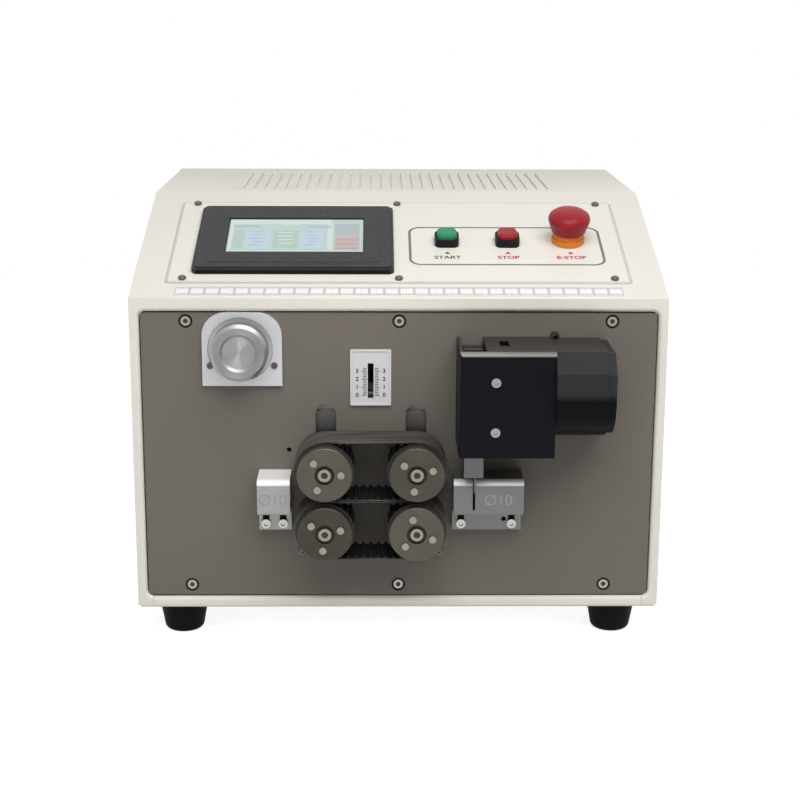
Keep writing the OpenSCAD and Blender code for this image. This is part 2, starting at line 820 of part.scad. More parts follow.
// Rounded bracket that carries the knob spindle
module knob_bracket() {
    top_r = 16;
    color("silver") at_case() difference() {
        facing(bracket_front, bracket_t) translate([knob_x + bracket_shift, knob_z]) {
            square([bracket_w - 2 * top_r, bracket_h], center = true);
            translate([-bracket_w / 2, -bracket_h / 2]) square([bracket_w, bracket_h - top_r]);
            for (side = [-1, 1])
                translate([side * (bracket_w / 2 - top_r), bracket_h / 2 - top_r]) circle(top_r);
        }
        bar_y(knob_x, bracket_front - cut, knob_z, bracket_t + 2 * cut, spindle_r + shaft_gap);
        bar_y(knob_x, bracket_front - cut, knob_z, cut + bracket_t / 2, knob_r + 2.4);
        for (side = [-1, 1])
            bar_y(knob_x + bracket_shift + side * bracket_screw_x(), bracket_front - cut, knob_z - 11, bracket_t + 2 * cut, thread_r);
    }
}

// Turned knob with a dished face, on its spindle
module gap_knob() {
    color("#c9ccd0") at_case() translate([knob_x, 0, knob_z]) rotate([90, 0, 0]) difference() {
        union() {
            translate([0, 0, -knob_rear]) rotate_extrude() polygon([[0, 0], [knob_r - 0.8, 0], [knob_r, 0.8],
                [knob_r, knob_l - 2], [knob_r - 2.2, knob_l], [0, knob_l]]);
            translate([0, 0, -(gear_y + gear_w + 4)]) cylinder(h = gear_y + gear_w + 4 - knob_rear + fit, r = spindle_r);
        }
        translate([0, 0, -knob_front - 2]) cylinder(h = 2 + cut, r = 11);
    }
}

// Half the angle that a gear tooth fills at radius r, in degrees
function involute(a) = tan(a) * 180 / PI - a;
function tooth_half(r) = let (base = gear_r * cos(20))
    90 / gear_teeth - backlash / 2 / gear_r * 180 / PI + involute(20) - involute(acos(base / r));

module gear_outline() {
    base = gear_r * cos(20);
    tip = gear_r + gear_module;
    root = gear_r - 1.25 * gear_module;
    low = max(base, root);
    steps = 5;
    radii = [for (i = [0 : steps]) low + (tip - low) * i / steps];
    polygon([for (t = [0 : gear_teeth - 1]) let (c = 360 * t / gear_teeth) each concat(
        [[root * cos(c - tooth_half(low)), root * sin(c - tooth_half(low))]],
        [for (r = radii) [r * cos(c - tooth_half(r)), r * sin(c - tooth_half(r))]],
        [for (i = [steps : -1 : 0]) let (r = radii[i]) [r * cos(c + tooth_half(r)), r * sin(c + tooth_half(r))]],
        [[root * cos(c + tooth_half(low)), root * sin(c + tooth_half(low))]])]);
}

// Rack along the second axis. Its pitch line is at x = 0 and its teeth point to -x
module rack_outline(teeth, back) {
    half = rack_pitch / 4 - backlash / 2;
    tip = gear_module;
    root = 1.25 * gear_module;
    tip_half = half - tip * tan(20);
    root_half = half + root * tan(20);
    start = -(teeth - 1) / 2 * rack_pitch;
    polygon(concat(
        [[back, start - rack_pitch / 2], [root, start - rack_pitch / 2]],
        [for (i = [0 : teeth - 1]) let (c = start + i * rack_pitch)
            each [[root, c - root_half], [-tip, c - tip_half], [-tip, c + tip_half], [root, c + root_half]]],
        [[root, -start + rack_pitch / 2], [back, -start + rack_pitch / 2]]));
}

module gap_pinion() {
    color("#b08d4f") at_case() difference() {
        translate([knob_x, gear_y + gear_w, knob_z]) rotate([90, 0, 0]) linear_extrude(gear_w) gear_outline();
        bar_y(knob_x, gear_y - cut, knob_z, gear_w + 2 * cut, spindle_r + fit);
    }
}

// Rack with the arm that ties it to the lift carriage
module lift_rack() {
    rack_mid = knob_z - rack_pitch / 2 - rack_pitch * round((lift_max / 2) / rack_pitch - 0.5);
    low = rack_mid - rack_teeth / 2 * rack_pitch;
    color("#8d9095") at_case() facing(gear_y + 0.2, gear_w - 0.4) {
        translate([rack_x, rack_mid]) rack_outline(rack_teeth, rack_back);
        translate([rack_x + 1.25 * gear_module, rack_arm_low])
            square([rack_back - 1.25 * gear_module, low - rack_arm_low + fit]);
        translate([rack_x + 1.25 * gear_module, rack_arm_low])
            square([feed_x - housing_w / 2 - rack_x - 1.25 * gear_module, 12]);
    }
}

// Plate with the pointer slot, raised at its edge
module gap_scale() {
    color("#f2f0ea") at_case() {
        facing(panel_in - scale_t, scale_t) difference() {
            translate([scale_x, scale_z]) rounded(scale_w, scale_h, 1);
            translate([scale_x, slot_z]) square([scale_slot, scale_slot_h], center = true);
        }
        facing(panel_in - scale_t - scale_rim, scale_rim + fit) translate([scale_x, scale_z]) difference() {
            rounded(scale_w, scale_h, 1);
            rounded(scale_w - 3, scale_h - 3, 0.6);
        }
    }
}

// Sliding bearing block of the upper belt, with the gap pointer
module lift_carriage() {
    color("#4a4c50") at_case() difference() {
        union() {
            translate([feed_x - housing_w / 2, carriage_front, carriage_low])
                cube([housing_w, slab_t, slab_top - carriage_low]);
            translate([feed_x - housing_w / 2, carriage_front + slab_step, slab_top - fit])
                cube([housing_w, slab_t - slab_step, upper_z + slot_rise + 4 - slab_top]);
            translate([feed_x - housing_w / 2, carriage_front, carriage_low])
                cube([housing_w, carriage_back - carriage_front, carriage_top - carriage_low]);
            translate([scale_x - pointer_w / 2, carriage_front, slab_top - fit])
                cube([pointer_w, 3, pointer_z - slab_top + pointer_t]);
            translate([scale_x - pointer_w / 2, panel_in + 0.3, pointer_z])
                cube([pointer_w, carriage_front - panel_in, pointer_t]);
        }
        for (x = [left_x, right_x]) {
            bar_y(x, carriage_front - cut, upper_z, housing_d + 2 * cut, shaft_r + 1);
            bar_y(x, carriage_front - cut, upper_z, bearing_w + cut, bearing_r + fit);
            bar_y(x, carriage_back - bearing_w, upper_z, bearing_w + cut, bearing_r + fit);
        }
        for (side = [-1, 1])
            translate([feed_x + side * rod_pitch / 2, rod_y, carriage_low - cut])
                cylinder(h = carriage_top - carriage_low + 2 * cut, r = rod_r + shaft_gap);
    }
}

module lift_rods() {
    color("silver") at_case() for (side = [-1, 1])
        translate([feed_x + side * rod_pitch / 2, rod_y, rod_low]) cylinder(h = rod_top - rod_low, r = rod_r);
}

// Block on the panel that holds the tops of the lift rods
module rod_block() {
    front = carriage_front + slab_t + 0.6;
    foot_w = 9;
    color("#c4c6c8") at_case() difference() {
        union() {
            translate([feed_x - housing_w / 2 - foot_w - 1, front, rod_block_low])
                cube([housing_w + 2 * foot_w + 2, housing_back - front, rod_block_h]);
            for (x = [feed_x - housing_w / 2 - foot_w - 1, feed_x + housing_w / 2 + 1])
                translate([x, panel_back, rod_block_low]) cube([foot_w, front - panel_back + fit, rod_block_h]);
        }
        for (side = [-1, 1])
            translate([feed_x + side * rod_pitch / 2, rod_y, rod_block_low - cut])
                cylinder(h = rod_seat + cut, r = rod_r + fit);
        translate([scale_x - pointer_w, front - cut, rod_block_low - cut])
            cube([2 * pointer_w, 1.2 + cut, rod_block_h + 2 * cut]);
    }
}

// Fixed bearing block of the lower belt
module lower_housing() {
    color("#55585c") at_case() difference() {
        translate([feed_x - housing_w / 2, panel_back, housing_low])
            cube([housing_w, housing_d, housing_top - housing_low]);
        for (x = [left_x, right_x]) {
            bar_y(x, panel_back - cut, lower_z, housing_d + 2 * cut, shaft_r + 1);
            bar_y(x, panel_back - cut, lower_z, bearing_w + cut, bearing_r + fit);
            bar_y(x, housing_back - bearing_w, lower_z, bearing_w + cut, bearing_r + fit);
        }
        for (side = [-1, 1])
            translate([feed_x + side * rod_pitch / 2, rod_y, rod_low])
                cylinder(h = rod_seat + cut, r = rod_r + fit);
    }
}

// Mounting plate behind the lower belt
module lower_plate() {
    low = lower_screw_z() - 4.5;
    high = nip_z - 1;
    half = 53;
    color("#5d5851") at_case() difference() {
        facing(panel_in - plate_t(), plate_t()) {
            translate([feed_x, (low + high) / 2]) rounded(2 * half, high - low, 3);
        }
        for (x = [left_x, right_x])
            bar_y(x, panel_in - plate_t() - cut, lower_z, plate_t() + 2 * cut, shaft_r + 1);
        for (x = lower_screw_places())
            bar_y(x, panel_in - plate_t() - cut, lower_screw_z(), plate_t() + 2 * cut, thread_r);
    }
}

module bearing(x, y, z) {
    difference() {
        bar_y(x, y, z, bearing_w, bearing_r);
        bar_y(x, y - cut, z, bearing_w + 2 * cut, shaft_r + shaft_gap);
        for (face = [y - cut, y + bearing_w - 0.6]) difference() {
            bar_y(x, face, z, 0.6 + cut, bearing_r - 2);
            bar_y(x, face - cut, z, 0.6 + 3 * cut, shaft_r + 1.6);
        }
    }
}

module lower_bearings() {
    color("#d6d8db") at_case() for (x = [left_x, right_x], y = [panel_back, housing_back - bearing_w])
        bearing(x, y, lower_z);
}

module upper_bearings() {
    color("#d6d8db") at_case() for (x = [left_x, right_x], y = [carriage_front, carriage_back - bearing_w])
        bearing(x, y, upper_z);
}

module stadium(r) {
    square([centre_d, 2 * r], center = true);
    for (side = [-1, 1]) translate([side * centre_d / 2, 0]) circle(r, $fn = 96);
}

// One belt tooth that points down, with its root line at height h
module belt_tooth(h) {
    polygon([[-tooth_root / 2, h + tooth_base], [-tooth_root / 2, h], [-tooth_tip / 2, h - tooth_h],
        [tooth_tip / 2, h - tooth_h], [tooth_root / 2, h], [tooth_root / 2, h + tooth_base]]);
}

// Closed toothed belt round a pair of pulleys at height z
module belt(z) {
    facing(-belt_reach, belt_w) translate([feed_x, z]) {
        difference() {
            stadium(back_r);
            stadium(pulley_r + mesh_gap);
        }
        for (side = [-1, 1]) translate([side * centre_d / 2, 0])
            for (i = [0 : arc_teeth]) rotate(side * -i * 360 / pulley_teeth) belt_tooth(pulley_r);
        for (i = [1 : straight_teeth], turn = [0, 180])
            rotate(turn) translate([-centre_d / 2 + i * belt_pitch, 0]) belt_tooth(pulley_r);
    }
}

module lower_belt() {
    color("#26282b") at_case() belt(lower_z);
}

module upper_belt() {
    color("#26282b") at_case() belt(upper_z);
}

// Toothed pulley with one groove for each belt tooth and a rim in front of the belt
module pulley(x, z) {
    play = mesh_gap;
    root = pulley_r - tooth_h - play;
    at_case() difference() {
        union() {
            facing(-pulley_front, pulley_front - pulley_rear) translate([x, z]) difference() {
                circle(pulley_r, $fn = 96);
                for (i = [0 : pulley_teeth - 1]) rotate(i * 360 / pulley_teeth)
                    polygon([[-tooth_root / 2 - play - 0.3, pulley_r + 0.6], [-tooth_root / 2 - play, pulley_r],
                        [-tooth_tip / 2 - play, root], [tooth_tip / 2 + play, root],
                        [tooth_root / 2 + play, pulley_r], [tooth_root / 2 + play + 0.3, pulley_r + 0.6]]);
            }
            facing(-pulley_front, rim_t) translate([x, z]) circle(rim_r, $fn = 96);
        }
        bar_y(x, -pulley_front - cut, z, pulley_front - pulley_rear + 2 * cut, shaft_r + fit);
    }
}

// Shaft of one roller. A driven shaft runs on into its motor
module roller_shaft(x, z, back, driven) {
    front = -pulley_front + fit;
    at_case() {
        bar_y(x, front, z, back - front + (driven ? -0.4 : 1.5), shaft_r);
        if (driven) bar_y(x, back - 0.4 - fit, z, motor_bore - 3, drive_r);
    }
}

// Disc that closes a roller, with three small screws round a socket screw
module roller_cap(x, z, angles) {
    at_case() {
        difference() {
            translate([x, -pulley_front, z]) rotate([90, 0, 0]) rotate_extrude()
                polygon([[0, 0], [cap_r, 0], [cap_r, cap_t - 0.6], [cap_r - 0.6, cap_t], [0, cap_t]]);
            bar_y(x, -cap_front - cut, z, cut + 2, centre_bore_r);
        }
        difference() {
            bar_y(x, -cap_front - 0.6, z, 2.6, centre_head_r);
            translate([x, -cap_front - 0.6 - cut, z]) rotate([-90, 0, 0]) cylinder(h = cut + 1.6, r = 2.4, $fn = 6);
        }
        for (a = angles)
            bar_y(x + cap_screw_ring * cos(a), -cap_front - cap_head_h, z + cap_screw_ring * sin(a), cap_head_h, cap_head_r);
    }
}

module lower_left_pulley() {
    color("#8f9296") pulley(left_x, lower_z);
}

module lower_right_pulley() {
    color("#8f9296") pulley(right_x, lower_z);
}

module upper_left_pulley() {
    color("#8f9296") pulley(left_x, upper_z);
}

module upper_right_pulley() {
    color("#8f9296") pulley(right_x, upper_z);
}

module lower_left_shaft() {
    color("silver") roller_shaft(left_x, lower_z, housing_back, true);
}

module lower_right_shaft() {
    color("silver") roller_shaft(right_x, lower_z, housing_back, false);
}

module upper_left_shaft() {
    color("silver") roller_shaft(left_x, upper_z, carriage_back, false);
}

module upper_right_shaft() {
    color("silver") roller_shaft(right_x, upper_z, carriage_back, true);
}

module lower_left_cap() {
    color("#817a70") roller_cap(left_x, lower_z, [145, 17, 263]);
}

module lower_right_cap() {
    color("#817a70") roller_cap(right_x, lower_z, [104, -16, 226]);
}

module upper_left_cap() {
    color("#817a70") roller_cap(left_x, upper_z, [130, 2, 244]);
}

module upper_right_cap() {
    color("#817a70") roller_cap(right_x, upper_z, [141, 18, 260]);
}

// Square stepper motor whose pilot ring seats at depth seat
module feed_motor(x, seat, z) {
    size = feed_motor_size;
    end_t = 9;
    y = seat + pilot_h;
    difference() {
        union() {
            bar_y(x, seat, z, pilot_h + fit, pilot_r);
            for (from = [y, y + feed_motor_l - end_t])
                facing(from, end_t) translate([x, z]) rounded(size, size, 5);
            facing(y + end_t - fit, feed_motor_l - 2 * end_t + 2 * fit) translate([x, z]) intersection() {
                square(size - 1.6, center = true);
                rotate(45) square(size * 1.22, center = true);
            }
        }
        bar_y(x, seat - cut, z, motor_bore + cut, drive_r + 0.4);
        for (i = [-1, 1], j = [-1, 1])
            bar_y(x + i * 23.57, y - cut, z + j * 23.57, end_t, 2.4);
    }
}

module lower_motor() {
    color("#3a3b3e") at_case() feed_motor(left_x, housing_back, lower_z);
}

module upper_motor() {
    color("#3a3b3e") at_case() feed_motor(right_x, carriage_back, upper_z);
}

// Side outline of a tube guide: block above, thin flange below
module guide_outline() {
    front = -guide_reach;
    translate([front + guide_edge, guide_low]) square([guide_reach + panel_in - guide_edge, guide_h]);
    translate([front, guide_low + 1]) square([guide_edge, guide_h - guide_edge - 1]);
    translate([front + guide_edge, guide_top - guide_edge]) circle(guide_edge);
    translate([front + 1, guide_low]) square([guide_edge, 2]);
    translate([panel_in - flange_d, flange_low]) square([flange_d, flange_h + 1]);
}

module guide_body(x, w) {
    translate([x, 0, 0]) rotate([90, 0, 90]) linear_extrude(w) guide_outline();
}

// Upright slot in a guide flange, so that the guide can be set to the tube
module flange_slot(x) {
    facing(panel_in - flange_d - cut, flange_d + 2 * cut) translate([x, guide_screw_z]) {
        translate([-guide_slot_w / 2, 0]) square([guide_slot_w, guide_slot_h]);
        circle(guide_slot_w / 2);
        translate([0, guide_slot_h]) circle(guide_slot_w / 2);
    }
}

module inlet_guide() {
    places = guide_screw_places();
    color("#d9dbde") at_case() difference() {
        guide_body(inlet_left, inlet_w);
        bar_x(inlet_left - cut, bore_y, nip_z, inlet_w + 2 * cut, bore_r);
        flange_slot(places[0]);
        flange_slot(places[1]);
    }
}

module outlet_guide() {
    places = guide_screw_places();
    slit = blade_t / 2 + blade_play;
    color("#d9dbde") at_case() difference() {
        guide_body(outlet_left, outlet_w);
        bar_x(outlet_left - cut, bore_y, nip_z, outlet_w + 2 * cut, bore_r);
        flange_slot(places[2]);
        flange_slot(places[3]);
        bar_y(outlet_right - 11.8, panel_in - flange_d - cut, guide_screw_z + 3, flange_d + 2 * cut, 1.6);
        translate([blade_x - slit, -guide_reach - cut, blade_low_slot])
            cube([2 * slit, guide_reach - 3 + cut, guide_h + 20]);
    }
}

// Solid block of the cutter, with the groove that guides the blade slide
module cutter_block() {
    front = -cover_reach + cover_t + 0.5;
    color("#333538") at_case() difference() {
        translate([channel_right, front, cover_z + 0.5])
            cube([cover_right - channel_right, panel_in - front, cover_h - cover_t - 1]);
        translate([channel_right - cut, tongue_y - 0.3, cover_z - cut])
            cube([tongue_w + cut, tongue_d + 0.6, cover_h + 2 * cut]);
        bar_x(channel_right - cut, motor_y, motor_z, cover_w, spindle_r + shaft_gap);
        translate([cover_right - 14, front - cut, cover_z]) cube([6, cut + 3, cover_h]);
        for (z = cover_screw_rows()) bar_y(cover_screw_x(), front - cut, z, 8, thread_r);
    }
}

// Folded cover: front, left side and top, notched over the slide
module cutter_cover() {
    back = panel_in;
    color("#232429") at_case() difference() {
        intersection() {
            translate([cover_left, 0, 0]) rotate([90, 0, 90]) linear_extrude(cover_w) {
                translate([-cover_reach, cover_z]) square([cover_reach + back, cover_h - cover_bend]);
                translate([-cover_reach + cover_bend, cover_top - cover_bend]) {
                    square([cover_reach + back - cover_bend, cover_bend]);
                    circle(cover_bend);
                }
            }
            translate([0, 0, cover_z]) linear_extrude(cover_h) {
                translate([cover_left, -cover_reach + cover_fold]) square([cover_w, cover_reach + back - cover_fold]);
                translate([cover_left + cover_fold, -cover_reach]) square([cover_w - cover_fold, cover_fold + fit]);
                translate([cover_left + cover_fold, -cover_reach + cover_fold]) circle(cover_fold);
            }
        }
        translate([cover_left + cover_t, -cover_reach + cover_t, cover_z - cut])
            cube([cover_w, cover_reach + back, cover_h - cover_t + cut]);
        translate([cover_left + cover_t, -cover_reach + cover_bend + 2, cover_top - cover_t - cut])
            cube([channel_right - channel_left, cover_reach + cover_bend, cover_t + 2 * cut]);
        translate([channel_right + 9.5, -29, cover_top - cover_t - cut]) cube([6, 16, cover_t + 2 * cut]);
        for (z = cover_screw_rows())
            bar_y(cover_screw_x(), -cover_reach - cut, z, cover_t + 2 * cut, thread_r + 0.2);
    }
}

// Motor beside the cutter, with a rounded lower front
module cutter_motor() {
    half = motor_size / 2;
    bevel = 6;
    belly = 26;
    end_t = 5;
    color("#3b3d42") at_case() difference() {
        translate([cover_right, motor_y, motor_z]) rotate([90, 0, 90]) {
            linear_extrude(motor_l - end_t) motor_outline(half, bevel, belly);
            translate([0, 0, motor_l - end_t]) linear_extrude(end_t) motor_outline(half - 1.2, bevel, belly);
        }
        bar_x(cover_right - cut, motor_y, motor_z, motor_l / 2 + cut, spindle_r + 0.4);
        for (i = [-1, 1], j = [-1, 1])
            bar_x(cover_right + motor_l - 2, motor_y + i * 18, motor_z + j * 18, 3, 2.2);
        translate([cover_right - cut, panel_in - stud_reach - 1, stud_z - screw_head_r - 0.6])
            cube([2 * screw_head_r + 2 + cut, stud_reach + 1 + cut, 2 * screw_head_r]);
    }
}

module motor_outline(half, bevel, belly) {
    intersection() {
        square(2 * half, center = true);
        union() {
            translate([-half + belly, -half]) square([2 * half - belly, 2 * half]);
            translate([-half, -half + belly]) square([2 * half, 2 * half - belly]);
            translate([-half + belly, -half + belly]) circle(belly, $fn = 96);
        }
        translate([bevel, -bevel]) rotate(45) square([6 * half, 2 * (sqrt(2) * half)], center = true);
    }
}

// Pinion and shaft that the cutter motor turns
module cutter_pinion() {
    shaft_start = pinion_x - 1;
    color("#b08d4f") at_case() {
        translate([pinion_x, motor_y, motor_z]) rotate([90, 0, 90]) linear_extrude(gear_w) gear_outline();
        bar_x(shaft_start, motor_y, motor_z, cover_right + motor_l / 2 - 2 - shaft_start, spindle_r);
    }
}

// Blade slide: rack bar behind, web over the guide and holder in front of it
module blade_slide() {
    mid = motor_z - rack_pitch / 2 + rack_pitch;
    bar_back = rack_y + 1.25 * gear_module + slide_bar_t;
    rack_low = mid - rack_teeth / 2 * rack_pitch;
    rack_high = mid + rack_teeth / 2 * rack_pitch;
    slit = blade_t / 2 + fit;
    color("#a9acaf") at_case() difference() {
        union() {
            translate([slide_left, 0, 0]) rotate([90, 0, 90]) linear_extrude(slide_w) {
                translate([rack_y, mid]) rack_outline(rack_teeth, bar_back - rack_y);
                translate([rack_y + 1.25 * gear_module, web_low])
                    square([bar_back - rack_y - 1.25 * gear_module, rack_low - web_low + fit]);
                translate([rack_y + 1.25 * gear_module, rack_high - fit])
                    square([bar_back - rack_y - 1.25 * gear_module, slide_top - rack_high + fit]);
                translate([holder_front, web_low]) square([bar_back - holder_front, web_high - web_low]);
                translate([holder_front, holder_low]) square([holder_back - holder_front, web_high - holder_low]);
            }
            translate([slide_right - fit, tongue_y, web_low + 4])
                cube([tongue_w - 0.4 + fit, tongue_d, rack_high - web_low - 4]);
        }
        translate([blade_x - slit, holder_front + 2, holder_low - cut])
            cube([2 * slit, holder_front * -1 - 8 - 2 + cut, web_high - 3 - holder_low + cut]);
    }
}

// Thin blade with a slightly sloped edge
module blade() {
    front = holder_front + 2.4;
    back = -8.6;
    top = web_high - 3.4;
    color("#e4e6e8") at_case() translate([blade_x - blade_t / 2, 0, 0]) rotate([90, 0, 90])
        linear_extrude(blade_t) polygon([[front, blade_tip], [back, blade_tip - 1], [back, top], [front, top]]);
}

// Switched power supply in its sheet metal cage
module power_supply() {
    w = 97;
    l = 159;
    h = 30;
    x = half_w - tray_wall - w - 4;
    y = 130;
    color("#b4b7ba") at_case() difference() {
        union() {
            translate([x, y, 0]) cube([w, l - 16, h]);
            translate([x, y + l - 16 - fit, 0]) cube([w, 16, 14]);
        }
        for (i = [0 : 8], j = [0 : 5])
            translate([x + 14 + j * 14, y + 14 + i * 14, h - 1.5]) cylinder(h = 3, r = 4);
        for (i = [0 : 6])
            translate([x + 8 + i * 12, y + l - 12, 9]) cube([9, 20, 10]);
    }
}

// Control board on four posts, with drivers, terminals and heat sinks
module control_board() {
    w = 150;
    l = 110;
    x = -half_w + tray_wall + 4;
    y = 150;
    lift = 10;
    driver_w = 30;
    driver_l = 40;
    fin_h = 14;
    tank_h = 12;
    color("#1f5c3a") at_case() {
        translate([x, y, lift]) cube([w, l, 1.6]);
        for (i = [6, w - 6], j = [6, l - 6]) translate([x + i, y + j, 0]) cylinder(h = lift, r = 3);
        for (i = [0 : 2]) translate([x + 14 + i * 42, y + 30, lift + 1.6]) {
            cube([driver_w, driver_l, 4]);
            for (fin = [0 : 5]) translate([fin * 5.4, 0, 4]) cube([2, driver_l, fin_h]);
        }
        for (i = [0 : 9]) translate([x + 10 + i * 13, y + l - 12, lift + 1.6]) cube([10, 8, 9]);
        for (i = [0 : 3]) translate([x + 24 + i * 30, y + 14, lift + 1.6]) cylinder(h = tank_h, r = 5);
    }
}

// Power inlet with its socket below and room for the rocker above
module power_inlet() {
    back = rear_in - inlet_depth;
    color("#1c1c1e") at_case() difference() {
        union() {
            facing(rear_in, sheet + power_proud) translate([power_x, power_z])
                rounded(inlet_flange_w, inlet_flange_h, 3);
            translate([power_x - (inlet_flange_w - 6) / 2, back, power_z - (inlet_flange_h - 6) / 2])
                cube([inlet_flange_w - 6, inlet_depth + fit, inlet_flange_h - 6]);
        }
        facing(rear_reach - 16, 16 + cut) translate([power_x, socket_z]) rounded(22, 16, 2);
        facing(rear_reach - 18, 18 + cut) translate([power_x, rocker_z]) square([15, 23], center = true);
    }
}

// Rocker of the mains switch on its pivot pin, pressed at its lower end
module power_switch() {
    pivot = rear_reach - 8;
    color("#2a2a2c") at_case() {
        translate([power_x - 7.1, pivot, rocker_z]) rotate([rocker_tilt, 0, 0])
            rotate([90, 0, 90]) linear_extrude(14.2)
                polygon([[6, -10], [4.4, 0], [6, 10], [1, 9.4], [-5, 3], [-5, -3], [1, -9.4]]);
        bar_x(power_x - 7.35, pivot, rocker_z, 14.7, 2);
    }
}

base_tray();
cover();
rear_panel();
feet();
front_panel();
panel_rails();
front_screws();
control_plate();
control_screws();
ruler();
touch_panel();
touch_screen();
button_housings();
start_button();
stop_button();
emergency_collar();
emergency_button();
knob_bracket();
gap_knob();
gap_pinion();
gap_scale();
lift_carriage();
lift_rack();
lift_rods();
rod_block();
lower_housing();
lower_plate();
lower_bearings();
upper_bearings();
lower_belt();
upper_belt();
lower_left_pulley();
lower_left_shaft();
lower_left_cap();
lower_right_pulley();
lower_right_shaft();
lower_right_cap();
upper_left_pulley();
upper_left_shaft();
upper_left_cap();
upper_right_pulley();
upper_right_shaft();
upper_right_cap();
lower_motor();
upper_motor();
inlet_guide();
outlet_guide();
cutter_block();
cutter_cover();
cutter_motor();
cutter_pinion();
blade_slide();
blade();
power_supply();
control_board();
power_inlet();
power_switch();
vent_mat();
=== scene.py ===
"""Looks of the tube cutting machine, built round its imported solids.

Case coordinates, in millimetres: x along the tube, y into the machine from the front rim,
z up from the bottom edge of the case. On the sloping face: x, s up the slope, h out of it.
"""
import json
import math

import bpy
from mathutils import Matrix, Vector


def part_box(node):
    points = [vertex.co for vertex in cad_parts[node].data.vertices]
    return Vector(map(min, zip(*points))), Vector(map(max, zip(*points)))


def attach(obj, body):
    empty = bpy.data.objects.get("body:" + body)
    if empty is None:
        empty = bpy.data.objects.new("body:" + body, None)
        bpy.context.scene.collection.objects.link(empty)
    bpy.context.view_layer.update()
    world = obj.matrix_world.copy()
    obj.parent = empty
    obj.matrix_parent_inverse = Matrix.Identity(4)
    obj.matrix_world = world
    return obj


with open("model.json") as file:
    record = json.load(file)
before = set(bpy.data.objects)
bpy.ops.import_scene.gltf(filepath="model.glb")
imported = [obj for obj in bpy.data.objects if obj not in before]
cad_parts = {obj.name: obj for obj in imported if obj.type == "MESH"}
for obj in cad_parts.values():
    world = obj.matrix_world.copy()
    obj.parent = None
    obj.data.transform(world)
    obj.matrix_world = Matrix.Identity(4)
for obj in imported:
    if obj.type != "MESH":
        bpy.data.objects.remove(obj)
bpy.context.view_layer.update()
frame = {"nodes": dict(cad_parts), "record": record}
nodes = frame["nodes"]

MM = 0.001
case_lo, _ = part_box("cover")
FRONT_Y = case_lo.y
BASE_Z = case_lo.z

# sloping face
FRONT_H = 216.0
SLOPE_D, TOP_H = 162.0, 267.0
SLOPE_A = math.atan2(TOP_H - FRONT_H, SLOPE_D)
PLATE_T = 1.0
RULER_T = 0.8

# front panel
PANEL_IN = 2.0
PANEL_SCREWS = [(x, z) for x in (-142.5, 0.0, 142.5) for z in (14.7, 200.3)]

# feed unit, knob and scale centres
FEED_X = -18.9
NIP_Z = 84.75
ROLLER_DX = 30.48
ROLLER_DZ = 20.426
LEVELS = {"lower": -ROLLER_DZ, "upper": ROLLER_DZ}
SIDES = {"left": -ROLLER_DX, "right": ROLLER_DX}
CAP_FRONT = -39.3
KNOB = (-106.2, 181.6)
SCALE_X = -19.1
GUIDE_REACH = 25.0

# rear
REAR_Y = 336.0
POWER_X = 110.0
SOCKET_Z = 49.0
ROCKER_Z = 77.0
ROCKER_TILT = math.radians(8)

# tolerances of the tests that pick out faces and vertices
HAIR, NEAR, CLEAR = 0.02, 0.05, 0.1


def at(x, y, z):
    """Case millimetres to the row frame in metres."""
    return Vector((x * MM, y * MM + FRONT_Y, z * MM + BASE_Z))


def case(v):
    """Row frame in metres to case millimetres."""
    return Vector((v.x, v.y - FRONT_Y, v.z - BASE_Z)) / MM


def up_slope(c):
    """Distance up the sloping face of a point in case millimetres."""
    return c.y * math.cos(SLOPE_A) + (c.z - FRONT_H) * math.sin(SLOPE_A)


def off_axis(c, x, z):
    """Distance of a point in case millimetres from the Y axis through x and z."""
    return math.hypot(c.x - x, c.z - z)


def knob_radius(c):
    return off_axis(c, *KNOB)


def panel_screw_radius(c):
    """Distance of a point from the axis of the nearest panel screw."""
    return min(off_axis(c, x, z) for x, z in PANEL_SCREWS)


# planes that flat pieces are drawn in: slope, front, rear and right-hand side
ORIGIN_M = Matrix.Translation(at(0, 0, 0))
UPRIGHT_M = Matrix.Rotation(math.pi / 2, 4, "X")
ABOUT_M = Matrix.Rotation(math.pi, 4, "Z")
SLOPE_M = Matrix.Translation(at(0, 0, FRONT_H)) @ Matrix.Rotation(SLOPE_A, 4, "X")
FACE_M = ORIGIN_M @ UPRIGHT_M
BACK_M = ORIGIN_M @ ABOUT_M @ UPRIGHT_M
SIDE_M = ORIGIN_M @ Matrix(((0, 0, 1, 0), (1, 0, 0, 0), (0, 1, 0, 0), (0, 0, 0, 1)))

# camera, fitted to the outline of the case in the photograph
PHOTO_PX = 800.0
FOCAL_PX = 1662.7
SENSOR_MM = 36.0
CAMERA_PLACE = (-16.59, -1087.34, 414.63)
PITCH, YAW, ROLL = (math.radians(a) for a in (13.838, 0.909, 0.248))


def make_camera():
    fwd = Vector((math.sin(YAW) * math.cos(PITCH), math.cos(YAW) * math.cos(PITCH), -math.sin(PITCH)))
    right0 = Vector((math.cos(YAW), -math.sin(YAW), 0))
    up0 = right0.cross(fwd)
    right = right0 * math.cos(ROLL) + up0 * math.sin(ROLL)
    up = up0 * math.cos(ROLL) - right0 * math.sin(ROLL)
    cam = bpy.data.objects.new("camera", bpy.data.cameras.new("camera"))
    bpy.context.scene.collection.objects.link(cam)
    m = Matrix((right, up, -fwd)).transposed().to_4x4()
    m.translation = at(*CAMERA_PLACE)
    cam.matrix_world = m
    cam.data.sensor_fit = "HORIZONTAL"
    cam.data.sensor_width = SENSOR_MM
    cam.data.lens = SENSOR_MM * FOCAL_PX / PHOTO_PX
    cam.data.clip_start = 0.05
    cam.data.clip_end = 200.0
    bpy.context.scene.camera = cam


make_camera()


